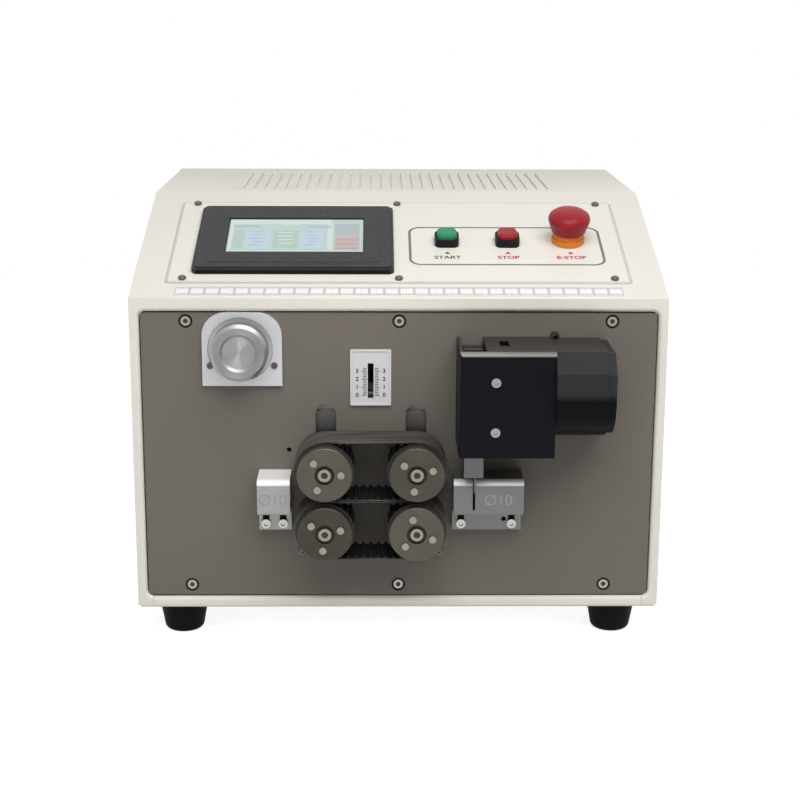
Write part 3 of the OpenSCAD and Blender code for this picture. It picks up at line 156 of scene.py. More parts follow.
# materials
class Mat:
    """One procedural material: colour variation, roughness variation and layered bump."""

    def __init__(self, name, color, rough, metal=0.0, spec=None):
        self.name = name
        self.m = bpy.data.materials.new(name)
        self.m.use_nodes = True
        self.nt = self.m.node_tree
        self.b = self.nt.nodes["Principled BSDF"]
        self.set("Base Color", (*color, 1))
        self.set("Roughness", rough)
        self.set("Metallic", metal)
        if spec is not None:
            self.set("Specular IOR Level", spec)
        self.color = color
        self.normal = None
        self.obj = self.nt.nodes.new("ShaderNodeTexCoord").outputs["Object"]

    def set(self, socket, value):
        self.b.inputs[socket].default_value = value

    def link(self, a, b):
        self.nt.links.new(a, b)

    def node(self, kind, **values):
        n = self.nt.nodes.new(kind)
        for k, v in values.items():
            setattr(n, k, v)
        return n

    def mapped(self, scale):
        n = self.node("ShaderNodeMapping")
        n.inputs["Scale"].default_value = scale
        self.link(self.obj, n.inputs["Vector"])
        return n.outputs["Vector"]

    def noise(self, scale, detail=3.0, rough=0.5, vector=None):
        n = self.node("ShaderNodeTexNoise")
        n.inputs["Scale"].default_value = scale
        n.inputs["Detail"].default_value = detail
        n.inputs["Roughness"].default_value = rough
        self.link(vector or self.obj, n.inputs["Vector"])
        return n.outputs["Fac"]

    def ramp(self, fac, stops):
        """Colour between two stops, each a place and a colour."""
        n = self.node("ShaderNodeValToRGB")
        for element, (place, color) in zip(n.color_ramp.elements, stops):
            element.position = place
            element.color = (*color, 1)
        self.link(fac, n.inputs["Fac"])
        return n.outputs["Color"]

    def vary(self, fac, amount, low=0.35, high=0.65):
        """Colour runs from darker to lighter by amount."""
        dark = tuple(c * (1 - amount) for c in self.color)
        light = tuple(min(1, c * (1 + amount)) for c in self.color)
        self.link(self.ramp(fac, [(low, dark), (high, light)]), self.b.inputs["Base Color"])

    def rough_from(self, fac, low, high):
        n = self.node("ShaderNodeMapRange")
        n.inputs["From Min"].default_value = 0.3
        n.inputs["From Max"].default_value = 0.7
        n.inputs["To Min"].default_value = low
        n.inputs["To Max"].default_value = high
        self.link(fac, n.inputs["Value"])
        self.link(n.outputs["Result"], self.b.inputs["Roughness"])

    def bump(self, height, strength, dist):
        n = self.node("ShaderNodeBump")
        n.inputs["Strength"].default_value = strength
        n.inputs["Distance"].default_value = dist
        self.link(height, n.inputs["Height"])
        if self.normal:
            self.link(self.normal, n.inputs["Normal"])
        self.normal = n.outputs["Normal"]
        self.link(self.normal, self.b.inputs["Normal"])

    def by_height(self, z0, z1, stops):
        """Colour by height between two case heights."""
        split = self.node("ShaderNodeSeparateXYZ")
        self.link(self.obj, split.inputs[0])
        share = self.node("ShaderNodeMapRange")
        share.inputs["From Min"].default_value = at(0, 0, z0).z
        share.inputs["From Max"].default_value = at(0, 0, z1).z
        self.link(split.outputs["Z"], share.inputs["Value"])
        self.link(self.ramp(share.outputs["Result"], stops), self.b.inputs["Base Color"])

    def vector(self, operation, a, b=None):
        n = self.node("ShaderNodeVectorMath", operation=operation)
        self.link(a, n.inputs[0])
        if b is not None:
            n.inputs[1].default_value = b
        return n.outputs["Value"] if operation == "LENGTH" else n.outputs[0]

    def turned(self, centre, rings, strength, aniso):
        """Turning marks in rings round a Y axis through centre, with gloss drawn out across them."""
        flat = self.vector("MULTIPLY", self.vector("SUBTRACT", self.obj, tuple(centre)), (1, 0, 1))
        radius = self.node("ShaderNodeMath", operation="MULTIPLY")
        self.link(self.vector("LENGTH", flat), radius.inputs[0])
        radius.inputs[1].default_value = rings
        along = self.node("ShaderNodeCombineXYZ")
        self.link(radius.outputs[0], along.inputs["X"])
        self.bump(self.noise(1.0, 2.0, 0.6, along.outputs[0]), strength, 0.0001)
        outward = self.node("ShaderNodeVectorTransform", vector_type="VECTOR")
        outward.convert_from = "OBJECT"
        outward.convert_to = "WORLD"
        self.link(self.vector("NORMALIZE", flat), outward.inputs[0])
        self.link(outward.outputs[0], self.b.inputs["Tangent"])
        self.set("Anisotropic", aniso)


def painted(name, color, rough, grain, grain_strength, mottle=0.02, spec=None, metal=0.0):
    m = Mat(name, color, rough, metal, spec)
    m.vary(m.noise(9.0, 4.0), mottle)
    m.rough_from(m.noise(60.0, 3.0), rough - 0.05, rough + 0.06)
    m.bump(m.noise(grain, 2.0, 0.5), grain_strength, 0.0002)
    return m


def moulded(name, color, rough, grain, strength, spec=None):
    m = Mat(name, color, rough, spec=spec)
    m.vary(m.noise(120.0, 3.0), 0.05)
    m.rough_from(m.noise(300.0, 2.0), rough - 0.06, rough + 0.06)
    m.bump(m.noise(grain, 2.0, 0.6), strength, 0.00015)
    return m


BRUSH_SCALE = 60.0


def brushed(name, color, rough, stretch, strength=0.08, mottle=0.07, metal=1.0):
    """Metal with fine lines, drawn out along the axes where stretch is small."""
    m = Mat(name, color, rough, metal)
    lines = m.noise(BRUSH_SCALE, 4.0, 0.65, m.mapped(stretch))
    m.vary(lines, mottle)
    m.rough_from(m.noise(BRUSH_SCALE * 1.3, 3.0, 0.6, m.mapped(stretch)), rough - 0.07, rough + 0.08)
    m.bump(lines, strength, 0.00012)
    return m


def fine_steel(name, color, rough):
    return brushed(name, color, rough, (30, 30, 30), 0.05, 0.06).m


def turned_disc(name, color, rough, metal, centre, rings, aniso):
    m = Mat(name, color, rough, metal)
    m.vary(m.noise(70.0), 0.05)
    m.turned(centre, rings, 0.1, aniso)
    return m


def screen(name, color, glow):
    m = Mat(name, (0.03, 0.032, 0.034), 0.2, spec=0.2)
    m.set("Coat Weight", 0.3)
    m.set("Coat Roughness", 0.05)
    m.set("Emission Color", (*color, 1))
    m.set("Emission Strength", glow)
    m.bump(m.noise(500.0, 2.0), 0.02, 0.0001)
    return m


def ink(name, color):
    m = Mat(name, color, 0.5, spec=0.2)
    m.bump(m.noise(3000.0), 0.03, 0.0001)
    return m.m


KNOB_CENTRE = at(KNOB[0], 0, KNOB[1])
KNOB_RINGS = 2400.0
MATS = {m.name: m.m for m in (
    painted("cream_paint", (0.80, 0.77, 0.70), 0.45, 1500.0, 0.06, 0.012, 0.4),
    painted("black_rubber", (0.004, 0.0042, 0.0045), 0.6, 1800.0, 0.2, 0.1, 0.06),
    brushed("bar_metal", (0.5, 0.51, 0.52), 0.38, (1, 40, 40)),
    brushed("screw_steel", (0.38, 0.38, 0.36), 0.32, (30, 30, 30), 0.05, 0.08),
    painted("control_face", (0.82, 0.79, 0.72), 0.5, 3000.0, 0.04, 0.01, 0.4),
    painted("ruler_face", (0.86, 0.86, 0.85), 0.4, 3000.0, 0.03, 0.01),
    moulded("bezel_plastic", (0.032, 0.032, 0.032), 0.5, 3000.0, 0.16, 0.2),
    moulded("black_plastic", (0.008, 0.008, 0.0085), 0.42, 2600.0, 0.08, 0.15),
    moulded("green_plastic", (0.022, 0.24, 0.12), 0.36, 900.0, 0.03, 0.25),
    moulded("red_plastic", (0.3, 0.011, 0.018), 0.36, 900.0, 0.03, 0.22),
    moulded("orange_plastic", (0.7, 0.215, 0.03), 0.4, 900.0, 0.03, 0.25),
    painted("plate_metal", (0.53, 0.53, 0.55), 0.42, 2600.0, 0.1, 0.04, metal=0.5),
    turned_disc("turned_metal", (0.235, 0.235, 0.235), 0.42, 0.95, KNOB_CENTRE, KNOB_RINGS, 0.85),
    brushed("brass_metal", (0.6, 0.42, 0.16), 0.3, (40, 1, 40)),
    painted("scale_face", (0.66, 0.65, 0.66), 0.42, 2600.0, 0.05, 0.02),
    brushed("dark_metal", (0.075, 0.073, 0.072), 0.42, (1, 30, 60), 0.06),
    brushed("ground_steel", (0.5, 0.5, 0.5), 0.25, (60, 1, 60)),
    moulded("belt_rubber", (0.014, 0.0135, 0.0135), 0.55, 2200.0, 0.22, 0.12),
    painted("motor_black", (0.03, 0.03, 0.032), 0.42, 1800.0, 0.1),
    brushed("guide_metal", (0.33, 0.335, 0.325), 0.34, (1, 70, 70), 0.08, 0.06, 0.3),
    brushed("block_black", (0.03, 0.03, 0.031), 0.4, (1, 50, 50), 0.06, metal=0.6),
    painted("cover_black", (0.0045, 0.005, 0.0075), 0.36, 2400.0, 0.08, 0.05, 0.07),
    painted("motor_cast", (0.009, 0.0095, 0.011), 0.42, 1500.0, 0.14, 0.06, 0.12),
    brushed("slide_metal", (0.1, 0.102, 0.1), 0.4, (60, 60, 1), 0.07),
    brushed("pulley_metal", (0.02, 0.02, 0.02), 0.45, (40, 1, 40), metal=0.4),
    brushed("cap_metal", (0.15, 0.14, 0.12), 0.4, (30, 30, 30)),
    moulded("board_green", (0.01, 0.09, 0.04), 0.35, 1200.0, 0.05),
    painted("filter_mat", (0.88, 0.86, 0.8), 0.8, 900.0, 0.5, 0.05),
    screen("screen_face", (0.03, 0.032, 0.034), 0.0),
)}
panel = painted("panel_paint", (0.171, 0.154, 0.132), 0.45, 2200.0, 0.05, 0.035, 0.14)
panel.bump(panel.noise(60.0, 4.0, 0.6, panel.mapped((1, 50, 50))), 0.05, 0.0001)
MATS["panel_paint"] = panel.m

# painted shade: a darker colour laid into the recesses and sockets of screws, where shade falls
recess_shade = painted("recess_shade", (0.05, 0.042, 0.033), 0.6, 1500.0, 0.1, spec=0.2).m
hex_shade = painted("hex_shade", (0.085, 0.078, 0.068), 0.6, 1500.0, 0.1, spec=0.3).m
bright_steel = fine_steel("bright_steel", (0.23, 0.215, 0.185), 0.32)
dim_steel = fine_steel("dim_steel", (0.09, 0.085, 0.08), 0.38)
bronze_steel = fine_steel("bronze_steel", (0.15, 0.14, 0.115), 0.38)
panel_screw_steel = fine_steel("panel_screw_steel", (0.31, 0.285, 0.26), 0.34)
cover_screw_steel = fine_steel("cover_screw_steel", (0.27, 0.275, 0.28), 0.34)


def dress(name, material):
    """One material for the whole of a node."""
    o = nodes[name]
    o.data.materials.clear()
    o.data.materials.append(material)


def paint_faces(name, material, test):
    """Gives material to the faces of a node whose middle, in case millimetres, passes the test."""
    me = nodes[name].data
    me.materials.append(material)
    index = len(me.materials) - 1
    for p in me.polygons:
        if test(case(p.center)):
            p.material_index = index


def bend(top, front, reach):
    """A test for the faces of the round between a level top and an upright front."""
    return lambda c: c.z > top - reach + CLEAR and front + HAIR < c.y < front + reach


ROUND_ANGLE = math.radians(32.0)
FLAT_ANGLE = math.radians(0.4)


def soften(name, width, ridge=None):
    """Small rounds on the sharp edges of a CAD node, with even shading, as modifiers.

    A ridge, if any, is a test for its vertices, a width and a material, and gets a flat of its own.
    """
    o = nodes[name]
    weld = o.modifiers.new("weld", "WELD")
    weld.merge_threshold = 1e-6
    flat = o.modifiers.new("flat", "DECIMATE")
    flat.decimate_type = "DISSOLVE"
    flat.angle_limit = FLAT_ANGLE
    flat.delimit = {"MATERIAL"}
    if ridge:
        test, ridge_width, material = ridge
        group = o.vertex_groups.new(name="ridge")
        group.add([v.index for v in o.data.vertices if test(case(v.co))], 1.0, "REPLACE")
        o.data.materials.append(material)
        wide = o.modifiers.new("ridge", "BEVEL")
        wide.width = ridge_width * MM
        wide.segments = 1
        wide.limit_method = "VGROUP"
        wide.vertex_group = "ridge"
        wide.material = len(o.data.materials) - 1
    bev = o.modifiers.new("round", "BEVEL")
    bev.width = width * MM
    bev.segments = 2
    bev.limit_method = "ANGLE"
    bev.angle_limit = ROUND_ANGLE
    bev.use_clamp_overlap = True
    even = o.modifiers.new("even", "WEIGHTED_NORMAL")
    even.weight = 80
    for p in o.data.polygons:
        p.use_smooth = True


for row in frame["record"]["subparts"]:
    dress(row["node"], MATS[row["material_slot"]])

# turned caps with bright screws; each cap painted lighter or darker for the light that falls on it, and
# painted shade in the recess round its middle screw
CAP_RECESS_R, CAP_RECESS_D = 6.5, 2.3
CAP_SCREW_R, CAP_HEX_R, CAP_HEX_PROUD = 4.3, 2.5, 0.5
CAP_RINGS = 3000.0
# painted light: the same bronze made lighter or darker on each cap for the light on it
CAP_LIGHT_TONES = {"upper_left": 0.08, "upper_right": 0.056, "lower_left": 0.04, "lower_right": 0.078}


def paint_cap(place, x, z):
    """Turned bronze, lighter or darker by painted light, with painted shade in the recess round the middle
    screw, and bright heads.
    """
    name = place + "_cap"
    light_tone = CAP_LIGHT_TONES[place]
    bronze = (light_tone, light_tone * 0.9, light_tone * 0.68)
    dress(name, turned_disc(name + "_turned", bronze, 0.42, 0.6, at(x, 0, z), CAP_RINGS, 0.6).m)
    paint_faces(name, recess_shade, lambda c: CAP_SCREW_R + NEAR < off_axis(c, x, z) < CAP_RECESS_R + NEAR
                and CAP_FRONT + CLEAR < c.y < CAP_FRONT + CAP_RECESS_D)
    paint_faces(name, bright_steel,
                lambda c: off_axis(c, x, z) < CAP_SCREW_R + NEAR or c.y < CAP_FRONT - NEAR)
    paint_faces(name, hex_shade,
                lambda c: off_axis(c, x, z) < CAP_HEX_R and c.y > CAP_FRONT - CAP_HEX_PROUD)


for level, dz in LEVELS.items():
    for side, dx in SIDES.items():
        paint_cap(f"{level}_{side}", FEED_X + dx, NIP_Z + dz)

# panel screws in their recesses, with painted shade in the recesses round them
PANEL_HEAD, PANEL_HEAD_R = 2.2, 3.3
PANEL_HEX_R, PANEL_HEX_D = 1.8, 1.4
SCREW_RECESS_R = 4.7
paint_faces("front_screws", panel_screw_steel, lambda c: panel_screw_radius(c) < PANEL_HEAD_R)
paint_faces("front_screws", hex_shade, lambda c: panel_screw_radius(c) < PANEL_HEX_R
            and PANEL_HEAD + CLEAR < c.y < PANEL_HEAD + PANEL_HEX_D)
paint_faces("front_panel", recess_shade, lambda c: panel_screw_radius(c) < SCREW_RECESS_R + NEAR
            and c.y > PANEL_IN + CLEAR)

# other screws: dim on the bracket, the lower plate and above the cutter motor, bright on the cutter cover
SCREW_R = 3.0
BRACKET_SCREW_Z, BRACKET_X = KNOB[1] - 11, -70.0
LOWER_SCREW_Z, LOWER_SCREW_DX = NIP_Z - ROLLER_DZ - 24.8, 52.0
STUD = (104.0, 190.6)
STUD_R, STUD_HEX_R, STUD_HEX_Y = 4.0, 1.8, -3.9
COVER_SCREW_Y = -45.0


def is_dim_screw(c):
    bracket = abs(c.z - BRACKET_SCREW_Z) < SCREW_R and c.x < BRACKET_X
    lower = abs(c.z - LOWER_SCREW_Z) < SCREW_R and abs(c.x - FEED_X) < LOWER_SCREW_DX
    return bracket or lower or off_axis(c, *STUD) < STUD_R


paint_faces("front_screws", dim_steel, is_dim_screw)
paint_faces("front_screws", cover_screw_steel, lambda c: c.y < COVER_SCREW_Y)
# painted shade in the socket of the stud
paint_faces("front_screws", recess_shade, lambda c: off_axis(c, *STUD) < STUD_HEX_R and c.y > STUD_HEX_Y)
dress("control_screws", bronze_steel)

# dished middle and turned rim of the knob
KNOB_FRONT, DISH_R, DISH_D, DISH_ROUND = -14.5, 11.0, 2.0, 0.3
RIM_R, RIM_D = 17.0, 1.9
dish_metal = turned_disc("dish_metal", (0.31, 0.31, 0.305), 0.46, 1.0, KNOB_CENTRE, KNOB_RINGS, 0.92).m
rim_metal = brushed("rim_metal", (0.34, 0.34, 0.335), 0.36, (40, 40, 40), 0.04, 0.04).m
paint_faces("gap_knob", dish_metal, lambda c: knob_radius(c) < DISH_R - DISH_ROUND
            and c.y < KNOB_FRONT + DISH_D + CLEAR)
paint_faces("gap_knob", rim_metal, lambda c: knob_radius(c) > RIM_R and c.y < KNOB_FRONT + RIM_D)
paint_faces("gap_knob", rim_metal, lambda c: abs(knob_radius(c) - DISH_R) < DISH_ROUND - NEAR
            and KNOB_FRONT + CLEAR < c.y < KNOB_FRONT + DISH_D)

# painted highlight on the rounded ridges of both guides and on the top of the inlet guide, and painted shade
# on the outlet guide, darker all over for the shade of the cutter above it
GUIDE_TOP, GUIDE_EDGE = 97.6, 4.2
guide_highlight = brushed("guide_highlight", (0.93, 0.93, 0.91), 0.35, (1, 70, 70), 0.05, 0.03, 0.1).m
dress("outlet_guide", brushed("outlet_shaded_metal", (0.155, 0.162, 0.158), 0.34, (1, 70, 70), 0.08, 0.08, 0.5).m)
for name in ("inlet_guide", "outlet_guide"):
    paint_faces(name, guide_highlight, bend(GUIDE_TOP, -GUIDE_REACH, GUIDE_EDGE))
paint_faces("inlet_guide", guide_highlight, lambda c: c.z > GUIDE_TOP - NEAR)

# painted light on the cutter cover: its top painted lighter, and a painted highlight along its bend
COVER_TOP, COVER_FRONT, COVER_BEND = 190.0, -50.0, 3.2
bend_highlight = painted("bend_highlight", (0.19, 0.182, 0.174), 0.3, 1500.0, 0.1, 0.25, 0.5).m
lit_top_black = painted("lit_top_black", (0.037, 0.034, 0.031), 0.42, 2000.0, 0.1, 0.08, 0.15).m
paint_faces("cutter_cover", lit_top_black, lambda c: c.z > COVER_TOP - NEAR)
paint_faces("cutter_cover", bend_highlight, bend(COVER_TOP, COVER_FRONT, COVER_BEND))
dress("blade", brushed("blade_steel", (0.09, 0.092, 0.09), 0.3, (60, 1, 60)).m)

# cutter motor with painted light and shade: lighter above and deep black below, graded by height, and its top
# painted lighter
MOTOR_Z, MOTOR_TOP = 160.5, 189.5
MOTOR_SHADE_FADE = (MOTOR_Z - 4, MOTOR_Z + 6)
motor = painted("motor_shaded_paint", (0.01, 0.01, 0.011), 0.4, 1500.0, 0.14, 0.06, 0.04)
motor.by_height(*MOTOR_SHADE_FADE, [(0.3, (0.0042, 0.005, 0.0062)), (0.75, (0.034, 0.034, 0.037))])
dress("cutter_motor", motor.m)
paint_faces("cutter_motor", lit_top_black, lambda c: c.z > MOTOR_TOP - 0.5)

# lower side of the touch panel, turned away from the light
TOUCH_LOW = 33.2
bezel_side = moulded("bezel_side", (0.009, 0.0085, 0.008), 0.5, 3000.0, 0.16, 0.1).m
paint_faces("touch_panel", bezel_side, lambda c: up_slope(c) < TOUCH_LOW + CLEAR)

# smooth backs of the belts, with lines along them, painted lighter than the toothed side: a painted sheen for
# the light they catch
BELT_INNER = 19.6
belt_back = Mat("belt_back", (0.078, 0.071, 0.068), 0.5, spec=0.25)
belt_back.vary(belt_back.noise(30.0, 3.0, 0.6, belt_back.mapped((1, 14, 1))), 0.4, 0.4, 0.6)
belt_back.bump(belt_back.noise(2200.0, 2.0, 0.6), 0.2, 0.00015)


def belt_radius(c, dz):
    """Distance of a point from the line between the two pulley axes of a belt."""
    return math.hypot(max(abs(c.x - FEED_X) - ROLLER_DX, 0), c.z - NIP_Z - dz)


for level, dz in LEVELS.items():
    paint_faces(level + "_belt", belt_back.m, lambda c: belt_radius(c, dz) > BELT_INNER)

# sliding block seen behind the tops of the shaft slots, its top faces painted light: a painted highlight on a
# part that sits in shade
SLAB_TOP, SLAB_MIDDLE = 137.1, 3.0
slab_top_highlight = painted("slab_top_highlight", (0.88, 0.84, 0.79), 0.5, 1500.0, 0.06, spec=0.3).m
dress("lift_carriage", brushed("slab_metal", (0.128, 0.124, 0.118), 0.45, (40, 1, 40), 0.06).m)
paint_faces("lift_carriage", slab_top_highlight, lambda c: c.z > SLAB_TOP and abs(c.x - SCALE_X) > SLAB_MIDDLE)

# rounds on the edges that catch the light
ROUNDS = {
    "cover": 0.35, "base_tray": 0.3, "rear_panel": 0.25, "feet": 0.6, "front_panel": 0.3,
    "control_plate": 0.2, "touch_panel": 0.5, "button_housings": 0.4, "start_button": 0.5,
    "stop_button": 0.5, "emergency_button": 0.5, "emergency_collar": 0.3, "knob_bracket": 0.4,
    "gap_knob": 0.3, "gap_scale": 0.12, "lower_plate": 0.25, "inlet_guide": 0.3, "outlet_guide": 0.3,
    "cutter_block": 0.4, "cutter_cover": 0.4, "cutter_motor": 0.9, "blade_slide": 0.3,
    "power_inlet": 0.4, "power_switch": 0.4, "control_screws": 0.12, "lift_carriage": 0.3,
    "ruler": 0.15,
}
CAP_ROUND = 0.15
DISH_EDGE_W = 1.7


def on_dish_edge(c):
    return abs(knob_radius(c) - DISH_R) < CLEAR and c.y < KNOB_FRONT + NEAR


dish_edge = (on_dish_edge, DISH_EDGE_W, rim_metal)
for name, width in ROUNDS.items():
    soften(name, width, dish_edge if name == "gap_knob" else None)
for level in LEVELS:
    for side in SIDES:
        soften(f"{level}_{side}_cap", CAP_ROUND)


# mesh helpers
def mesh_object(name, verts, faces, material, body):
    me = bpy.data.meshes.new(name)
    me.from_pydata([tuple(v) for v in verts], [], faces)
    me.materials.append(material)
    me.validate()
    o = bpy.data.objects.new(name, me)
    bpy.context.scene.collection.objects.link(o)
    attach(o, body)


def plates(name, rects, base_m, h0, h1, material, body="chassis"):
    """Thin raised rectangles (x0, y0, x1, y1) in the plane of base_m, from height h0 to h1 in mm."""
    verts, faces = [], []
    for x0, y0, x1, y1 in rects:
        k = len(verts)
        for h in (h0, h1):
            for x, y in ((x0, y0), (x1, y0), (x1, y1), (x0, y1)):
                verts.append(base_m @ Vector((x * MM, y * MM, h * MM)))
        faces += [[k + 4, k + 5, k + 6, k + 7], [k + 3, k + 2, k + 1, k]]
        for i in range(4):
            j = (i + 1) % 4
            faces.append([k + i, k + j, k + 4 + j, k + 4 + i])
    mesh_object(name, verts, faces, material, body)


def prism(name, loop, base_m, h0, h1, material, body="chassis"):
    """A straight prism over a closed loop of points in the plane of base_m."""
    n = len(loop)
    verts = [base_m @ Vector((x * MM, y * MM, h * MM)) for h in (h0, h1) for x, y in loop]
    faces = [list(range(n - 1, -1, -1)), list(range(n, 2 * n))]
    faces += [[i, (i + 1) % n, n + (i + 1) % n, n + i] for i in range(n)]
    mesh_object(name, verts, faces, material, body)


def circle(x, y, r):
    return [(x + r * math.cos(math.radians(a)), y + r * math.sin(math.radians(a))) for a in range(0, 360, 20)]


def round_loop(box, r, n=8):
    """Points of a rounded rectangle, with n steps in each corner."""
    x0, y0, x1, y1 = box
    corners = ((x1 - r, y0 + r, -90), (x1 - r, y1 - r, 0), (x0 + r, y1 - r, 90), (x0 + r, y0 + r, 180))
    pts = []
    for cx, cy, a0 in corners:
        for i in range(n + 1):
            a = math.radians(a0 + 90 * i / n)
            pts.append((cx + r * math.cos(a), cy + r * math.sin(a)))
    return pts


def grown(box, d):
    """A box (x0, y0, x1, y1) that is larger by d on each side."""
    x0, y0, x1, y1 = box
    return (x0 - d, y0 - d, x1 + d, y1 + d)


def outline(name, box, r, width, base_m, h0, h1, material, body="chassis"):
    """A raised band that follows a rounded rectangle, inside it."""
    outer = round_loop(box, r)
    inner = round_loop(grown(box, -width), max(r - width, 0.1))
    n = len(outer)
    verts = []
    for loop in (outer, inner):
        for h in (h0, h1):
            verts += [base_m @ Vector((x * MM, y * MM, h * MM)) for x, y in loop]
    faces = []
    for i in range(n):
        j = (i + 1) % n
        ob, ot, ib, it = i, n + i, 2 * n + i, 3 * n + i
        ob2, ot2, ib2, it2 = j, n + j, 2 * n + j, 3 * n + j
        faces += [[ot, ot2, it2, it], [ob, ob2, ot2, ot], [it, it2, ib2, ib], [ib, ib2, ob2, ob]]
    mesh_object(name, verts, faces, material, body)


LETTER_T = 0.015


def lettering(name, text, size, x, y, base_m, h, material, bold, body="chassis"):
    """Flat raised figures or plain words, centred on (x, y) in the plane of base_m."""
    cu = bpy.data.curves.new(name, "FONT")
    cu.body = text
    cu.size = size * MM
    cu.align_x = "CENTER"
    cu.align_y = "CENTER"
    cu.extrude = LETTER_T * MM
    cu.offset = bold * MM
    cu.materials.append(material)
    o = bpy.data.objects.new(name, cu)
    bpy.context.scene.collection.objects.link(o)
    o.matrix_world = base_m @ Matrix.Translation(Vector((x, y, h)) * MM)
    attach(o, body)


# printing on the control face
INK_T, WORD_T, SUNK = 0.04, 0.03, 0.02
ink_frame = ink("ink_frame", (0.19, 0.19, 0.215))
ink_dark = ink("ink_dark", (0.09, 0.11, 0.09))
ink_red = ink("ink_red", (0.42, 0.03, 0.04))
seam_shade = ink("seam_shade", (0.57, 0.53, 0.47))
edge_shade = ink("edge_shade", (0.6, 0.565, 0.51))

FRAME_BOX, FRAME_R, FRAME_W = (7.4, 47.4, 143.9, 108.4), 9, 1.9
outline("button_frame", FRAME_BOX, FRAME_R, FRAME_W, SLOPE_M, PLATE_T, PLATE_T + INK_T, ink_frame)

# painted shade in the gap round the control plate, and along its edge
PLATE_BOX, PLATE_R = (-157, 22.5, 157, 150.5), 2
SEAM_W, SEAM_T = 1.4, 0.06
EDGE_IN, EDGE_W, EDGE_T, EDGE_SUNK = 0.3, 0.7, 0.02, 0.01
outline("plate_seam", grown(PLATE_BOX, SEAM_W), PLATE_R + SEAM_W, SEAM_W, SLOPE_M, -SUNK, SEAM_T, seam_shade)
outline("plate_edge", grown(PLATE_BOX, -EDGE_IN), PLATE_R - EDGE_IN, EDGE_W, SLOPE_M, PLATE_T - EDGE_SUNK,
        PLATE_T + EDGE_T, edge_shade)

# a word and an arrow head for each button
WORD_S, WORD_SIZE, WORD_BOLD = 59.4, 6.4, 0.16
MARK_FOOT, MARK_TIP, MARK_DX = 65.0, 68.6, 2.1
for name, text, x, colour in (("start", "START", 34.3, ink_dark), ("stop", "STOP", 76.6, ink_red),
                              ("emergency", "E-STOP", 120.4, ink_red)):
    lettering(name + "_word", text, WORD_SIZE, x, WORD_S, SLOPE_M, PLATE_T + WORD_T, colour,
              WORD_BOLD)
    head = [(x - MARK_DX, MARK_FOOT), (x + MARK_DX, MARK_FOOT), (x, MARK_TIP)]
    prism(name + "_mark", head, SLOPE_M, PLATE_T, PLATE_T + INK_T, colour)

# ruler: a line for each millimetre at both edges, a full bar for each centimetre, a border along each edge
RULER_S, RULER_W, RULER_HALF, RULER_MARGIN = 9.2, 12.0, 150, 0.3
RULER_REACH = RULER_W / 2 - RULER_MARGIN
RULER_LOW, RULER_HIGH = RULER_S - RULER_REACH, RULER_S + RULER_REACH
RULER_END = RULER_HALF - 0.1
BORDER_W, BAR_HALF, TICK_HALF = 0.8, 0.85, 0.24
TICK_L, FIFTH_TICK_L = 2.3, 2.9
ink_line = ink("ink_line", (0.42, 0.4, 0.375))
ink_bar = ink("ink_bar", (0.58, 0.555, 0.525))
ticks, bars = [], []
for i in range(2 * RULER_HALF + 1):
    x = i - RULER_HALF
    if i % 10 == 0:
        bars.append((max(x - BAR_HALF, -RULER_END), RULER_LOW + BORDER_W,
                     min(x + BAR_HALF, RULER_END), RULER_HIGH - BORDER_W))
    else:
        length = FIFTH_TICK_L if i % 5 == 0 else TICK_L
        ticks.append((x - TICK_HALF, RULER_LOW + BORDER_W, x + TICK_HALF, RULER_LOW + length))
        ticks.append((x - TICK_HALF, RULER_HIGH - length, x + TICK_HALF, RULER_HIGH - BORDER_W))
bars.append((-RULER_END, RULER_LOW, RULER_END, RULER_LOW + BORDER_W))
bars.append((-RULER_END, RULER_HIGH - BORDER_W, RULER_END, RULER_HIGH))
plates("ruler_marks", ticks, SLOPE_M, RULER_T, RULER_T + WORD_T, ink_line)
plates("ruler_bars", bars, SLOPE_M, RULER_T, RULER_T + WORD_T, ink_bar)

# display: the lit area, then blocks given as shares of its width and height
GLASS_H = PLATE_T + 4.4
DISPLAY_W, DISPLAY_H = 94.6, 52.6
DISPLAY_X, DISPLAY_S = -72.0 - DISPLAY_W / 2, 84.7 - DISPLAY_H / 2
DISPLAY_GLOW = 0.92
GLASS_GAP = 0.01
LINE_T = 0.025


def display(name, color, lift, shares):
    """Lit rectangles of one colour, up to the height lift above the glass."""
    rects = [(DISPLAY_X + a * DISPLAY_W, DISPLAY_S + b * DISPLAY_H,
              DISPLAY_X + c * DISPLAY_W, DISPLAY_S + d * DISPLAY_H) for a, b, c, d in shares]
    light = screen("light_" + name, color, DISPLAY_GLOW).m
    plates("display_" + name, rects, SLOPE_M, GLASS_H + GLASS_GAP, GLASS_H + lift, light)


def rows(x0, x1, low, step, count):
    """Even rows of lines between x0 and x1, from low upwards."""
    return [(x0, low + i * step, x1, low + LINE_T + i * step) for i in range(count)]


def ragged(x0, x1):
    """Rows of lines that start and end unevenly, as written text does."""
    return [(x0 + 0.03 + 0.02 * (i % 2), 0.2 + i * 0.1, x1 - 0.06 + 0.02 * (i % 3), 0.2 + LINE_T + i * 0.1)
            for i in range(5)]


